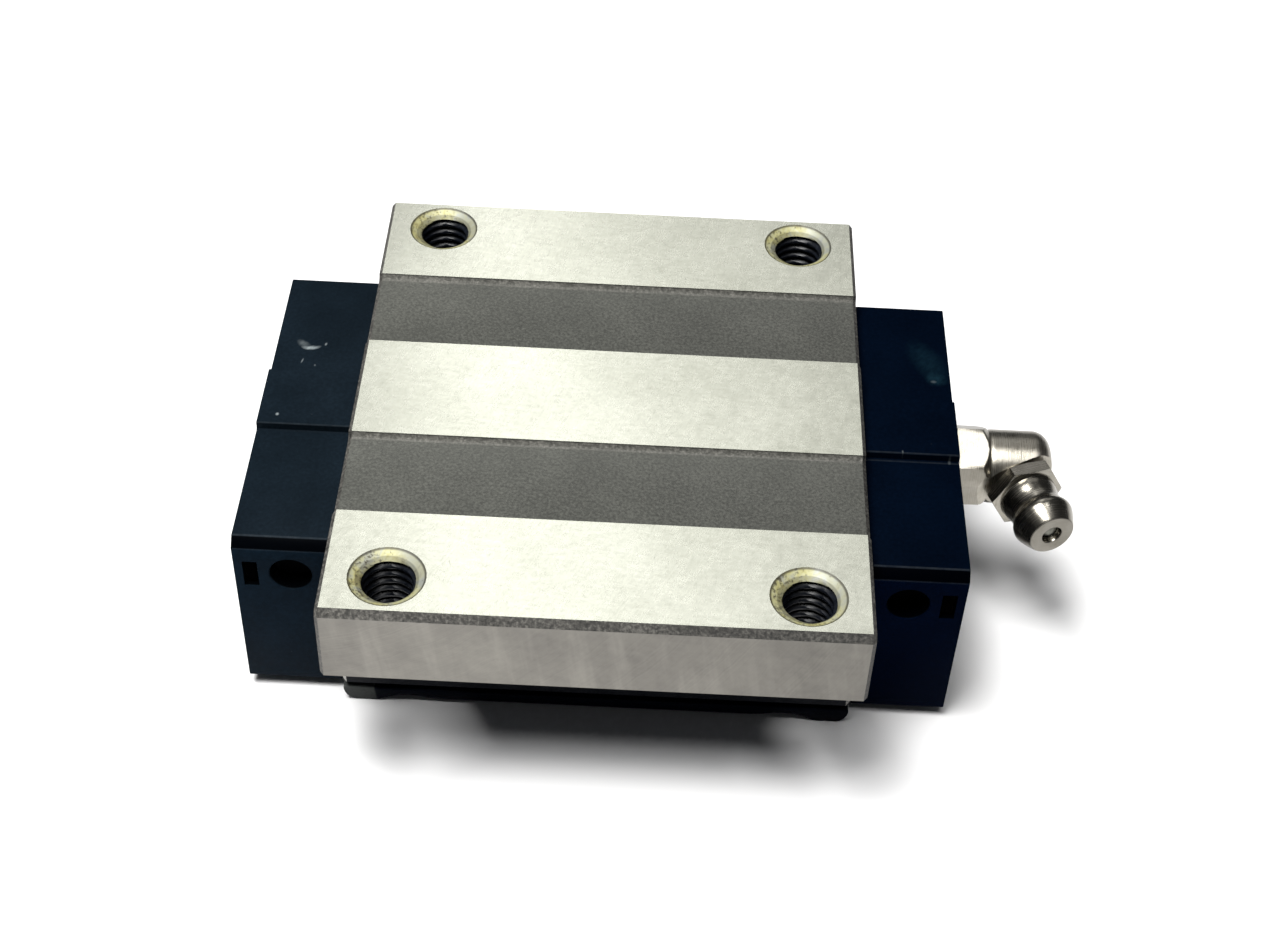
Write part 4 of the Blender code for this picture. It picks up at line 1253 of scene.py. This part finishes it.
give(nipple, M_NIPPLE, M_TIP)
for f in nipple.data.polygons:
    f.material_index = 1 if (f.center / MM - ELBOW).dot(ARM) > 10.3 else 0
piece(nipple, "carriage", "nickel_plate", "grease_nipple")

bm = bmesh.new()
bmesh.ops.create_uvsphere(bm, u_segments=36, v_segments=24, radius=1.2,
                          matrix=Matrix.Translation(ELBOW + ARM * 8.8))
obj = to_object("nipple_ball", bm, 80)
give(obj, M_CHECK)
piece(obj, "nipple_ball", "ball_steel", "check_ball")

bm = bmesh.new()
_, nu, nv = frame_of(ARM)
turns, per_turn, coil_r, wire = 4.5, 28, 1.05, 0.16
count = int(turns * per_turn)
s0, s1 = 3.3, 6.6
rings = []
for k in range(count + 1):
    t = k / count
    a = 2 * math.pi * turns * t
    radial = nu * math.cos(a) + nv * math.sin(a)
    tangent = ((nv * math.cos(a) - nu * math.sin(a)) * (2 * math.pi * turns * coil_r)
               + ARM * (s1 - s0)).normalized()
    p = ELBOW + ARM * (s0 + (s1 - s0) * t) + radial * coil_r
    side = tangent.cross(radial).normalized()
    if k == 0:
        rings.append([bm.verts.new(p)])
    rings.append(ring(bm, p, radial, side, wire, 10))
    if k == count:
        rings.append([bm.verts.new(p)])
skin(bm, rings)
obj = to_object("nipple_spring", bm, 60)
give(obj, M_SPRING)
piece(obj, "carriage", "spring_steel", "check_spring")

# ---------------------------------------------------------------------------
# floor, lights, camera
# ---------------------------------------------------------------------------
bm = bmesh.new()
bmesh.ops.create_grid(bm, x_segments=8, y_segments=8, size=1500)
for v in bm.verts:
    v.co.z = FLOOR_Z - 0.02
floor = to_object("floor", bm)
mf = Mat("floor_white")
fn = mf.noise(0.02, 3, 0.5)
mf.set(Base_Color=mf.ramp(fn, [(0.3, (0.86, 0.86, 0.87)), (0.7, (0.90, 0.90, 0.905))]),
       Roughness=mf.span(fn, 0.3, 0.7, 0.32, 0.42))
mf.set(Normal=mf.bump(mf.noise(0.8, 2), 0.02, 0.05))
give(floor, mf.m)


def area(name, at, aim, size, power, colour=(1, 1, 1)):
    data = bpy.data.lights.new(name, 'AREA')
    data.shape = 'RECTANGLE'
    data.size, data.size_y = size[0] * MM, size[1] * MM
    data.energy = power
    data.color = colour
    obj = bpy.data.objects.new(name, data)
    at, aim = Vector(at), Vector(aim)
    obj.location = at * MM
    obj.rotation_euler = (aim - at).to_track_quat('-Z', 'Y').to_euler()
    scene.collection.objects.link(obj)
    return obj


area("overhead_softbox", (-106, -66, 500), (0, 0, -10), (270, 210), 5.0, (1.0, 0.995, 0.98))
area("front_lamp", (50, -225, 500), (0, 0, -10), (60, 60), 0.32)
area("side_softbox", (138, 18, 500), (42, 0, -7), (62, 62), 0.13)
area("far_left_panel", (-155, 397, 433), (0, 0, 0), (130, 300), 0.050)
area("far_bright_panel", (-48, 397, 433), (0, 0, 0), (84, 300), 0.150)
area("far_middle_panel", (26, 397, 433), (0, 0, 0), (64, 300), 0.052)
area("far_right_panel", (160, 397, 433), (0, 0, 0), (204, 300), 0.096)
area("low_softbox", (0, 0, -400), (0, 0, 0), (400, 400), 2.0)

world = bpy.data.worlds.new("studio")
scene.world = world
world.use_nodes = True
bg = world.node_tree.nodes["Background"]
bg.inputs["Color"].default_value = (0.95, 0.97, 1.0, 1)
bg.inputs["Strength"].default_value = 0.046

cam = bpy.data.cameras.new("camera")
cam.sensor_fit = 'HORIZONTAL'
cam.sensor_width = 36.0
cam.lens = 2060.79 / 1284.0 * 36.0
cam.clip_start = 0.005
cam.clip_end = 20.0
camera = bpy.data.objects.new("camera", cam)
scene.collection.objects.link(camera)
right = Vector((0.9988, 0.0337, 0.0346)).normalized()
forward = Vector((0.0003, 0.7118, -0.7023))
forward = (forward - right * forward.dot(right)).normalized()
up = right.cross(forward).normalized()
eye = Vector((3.54, -156.91, 145.25)) * MM
camera.matrix_world = Matrix((
    (right.x, up.x, -forward.x, eye.x),
    (right.y, up.y, -forward.y, eye.y),
    (right.z, up.z, -forward.z, eye.z),
    (0, 0, 0, 1)))
scene.camera = camera
scene.view_settings.view_transform = 'Standard'
scene.view_settings.look = 'None'
scene.view_settings.exposure = 0.0
scene.cycles.use_denoising = True
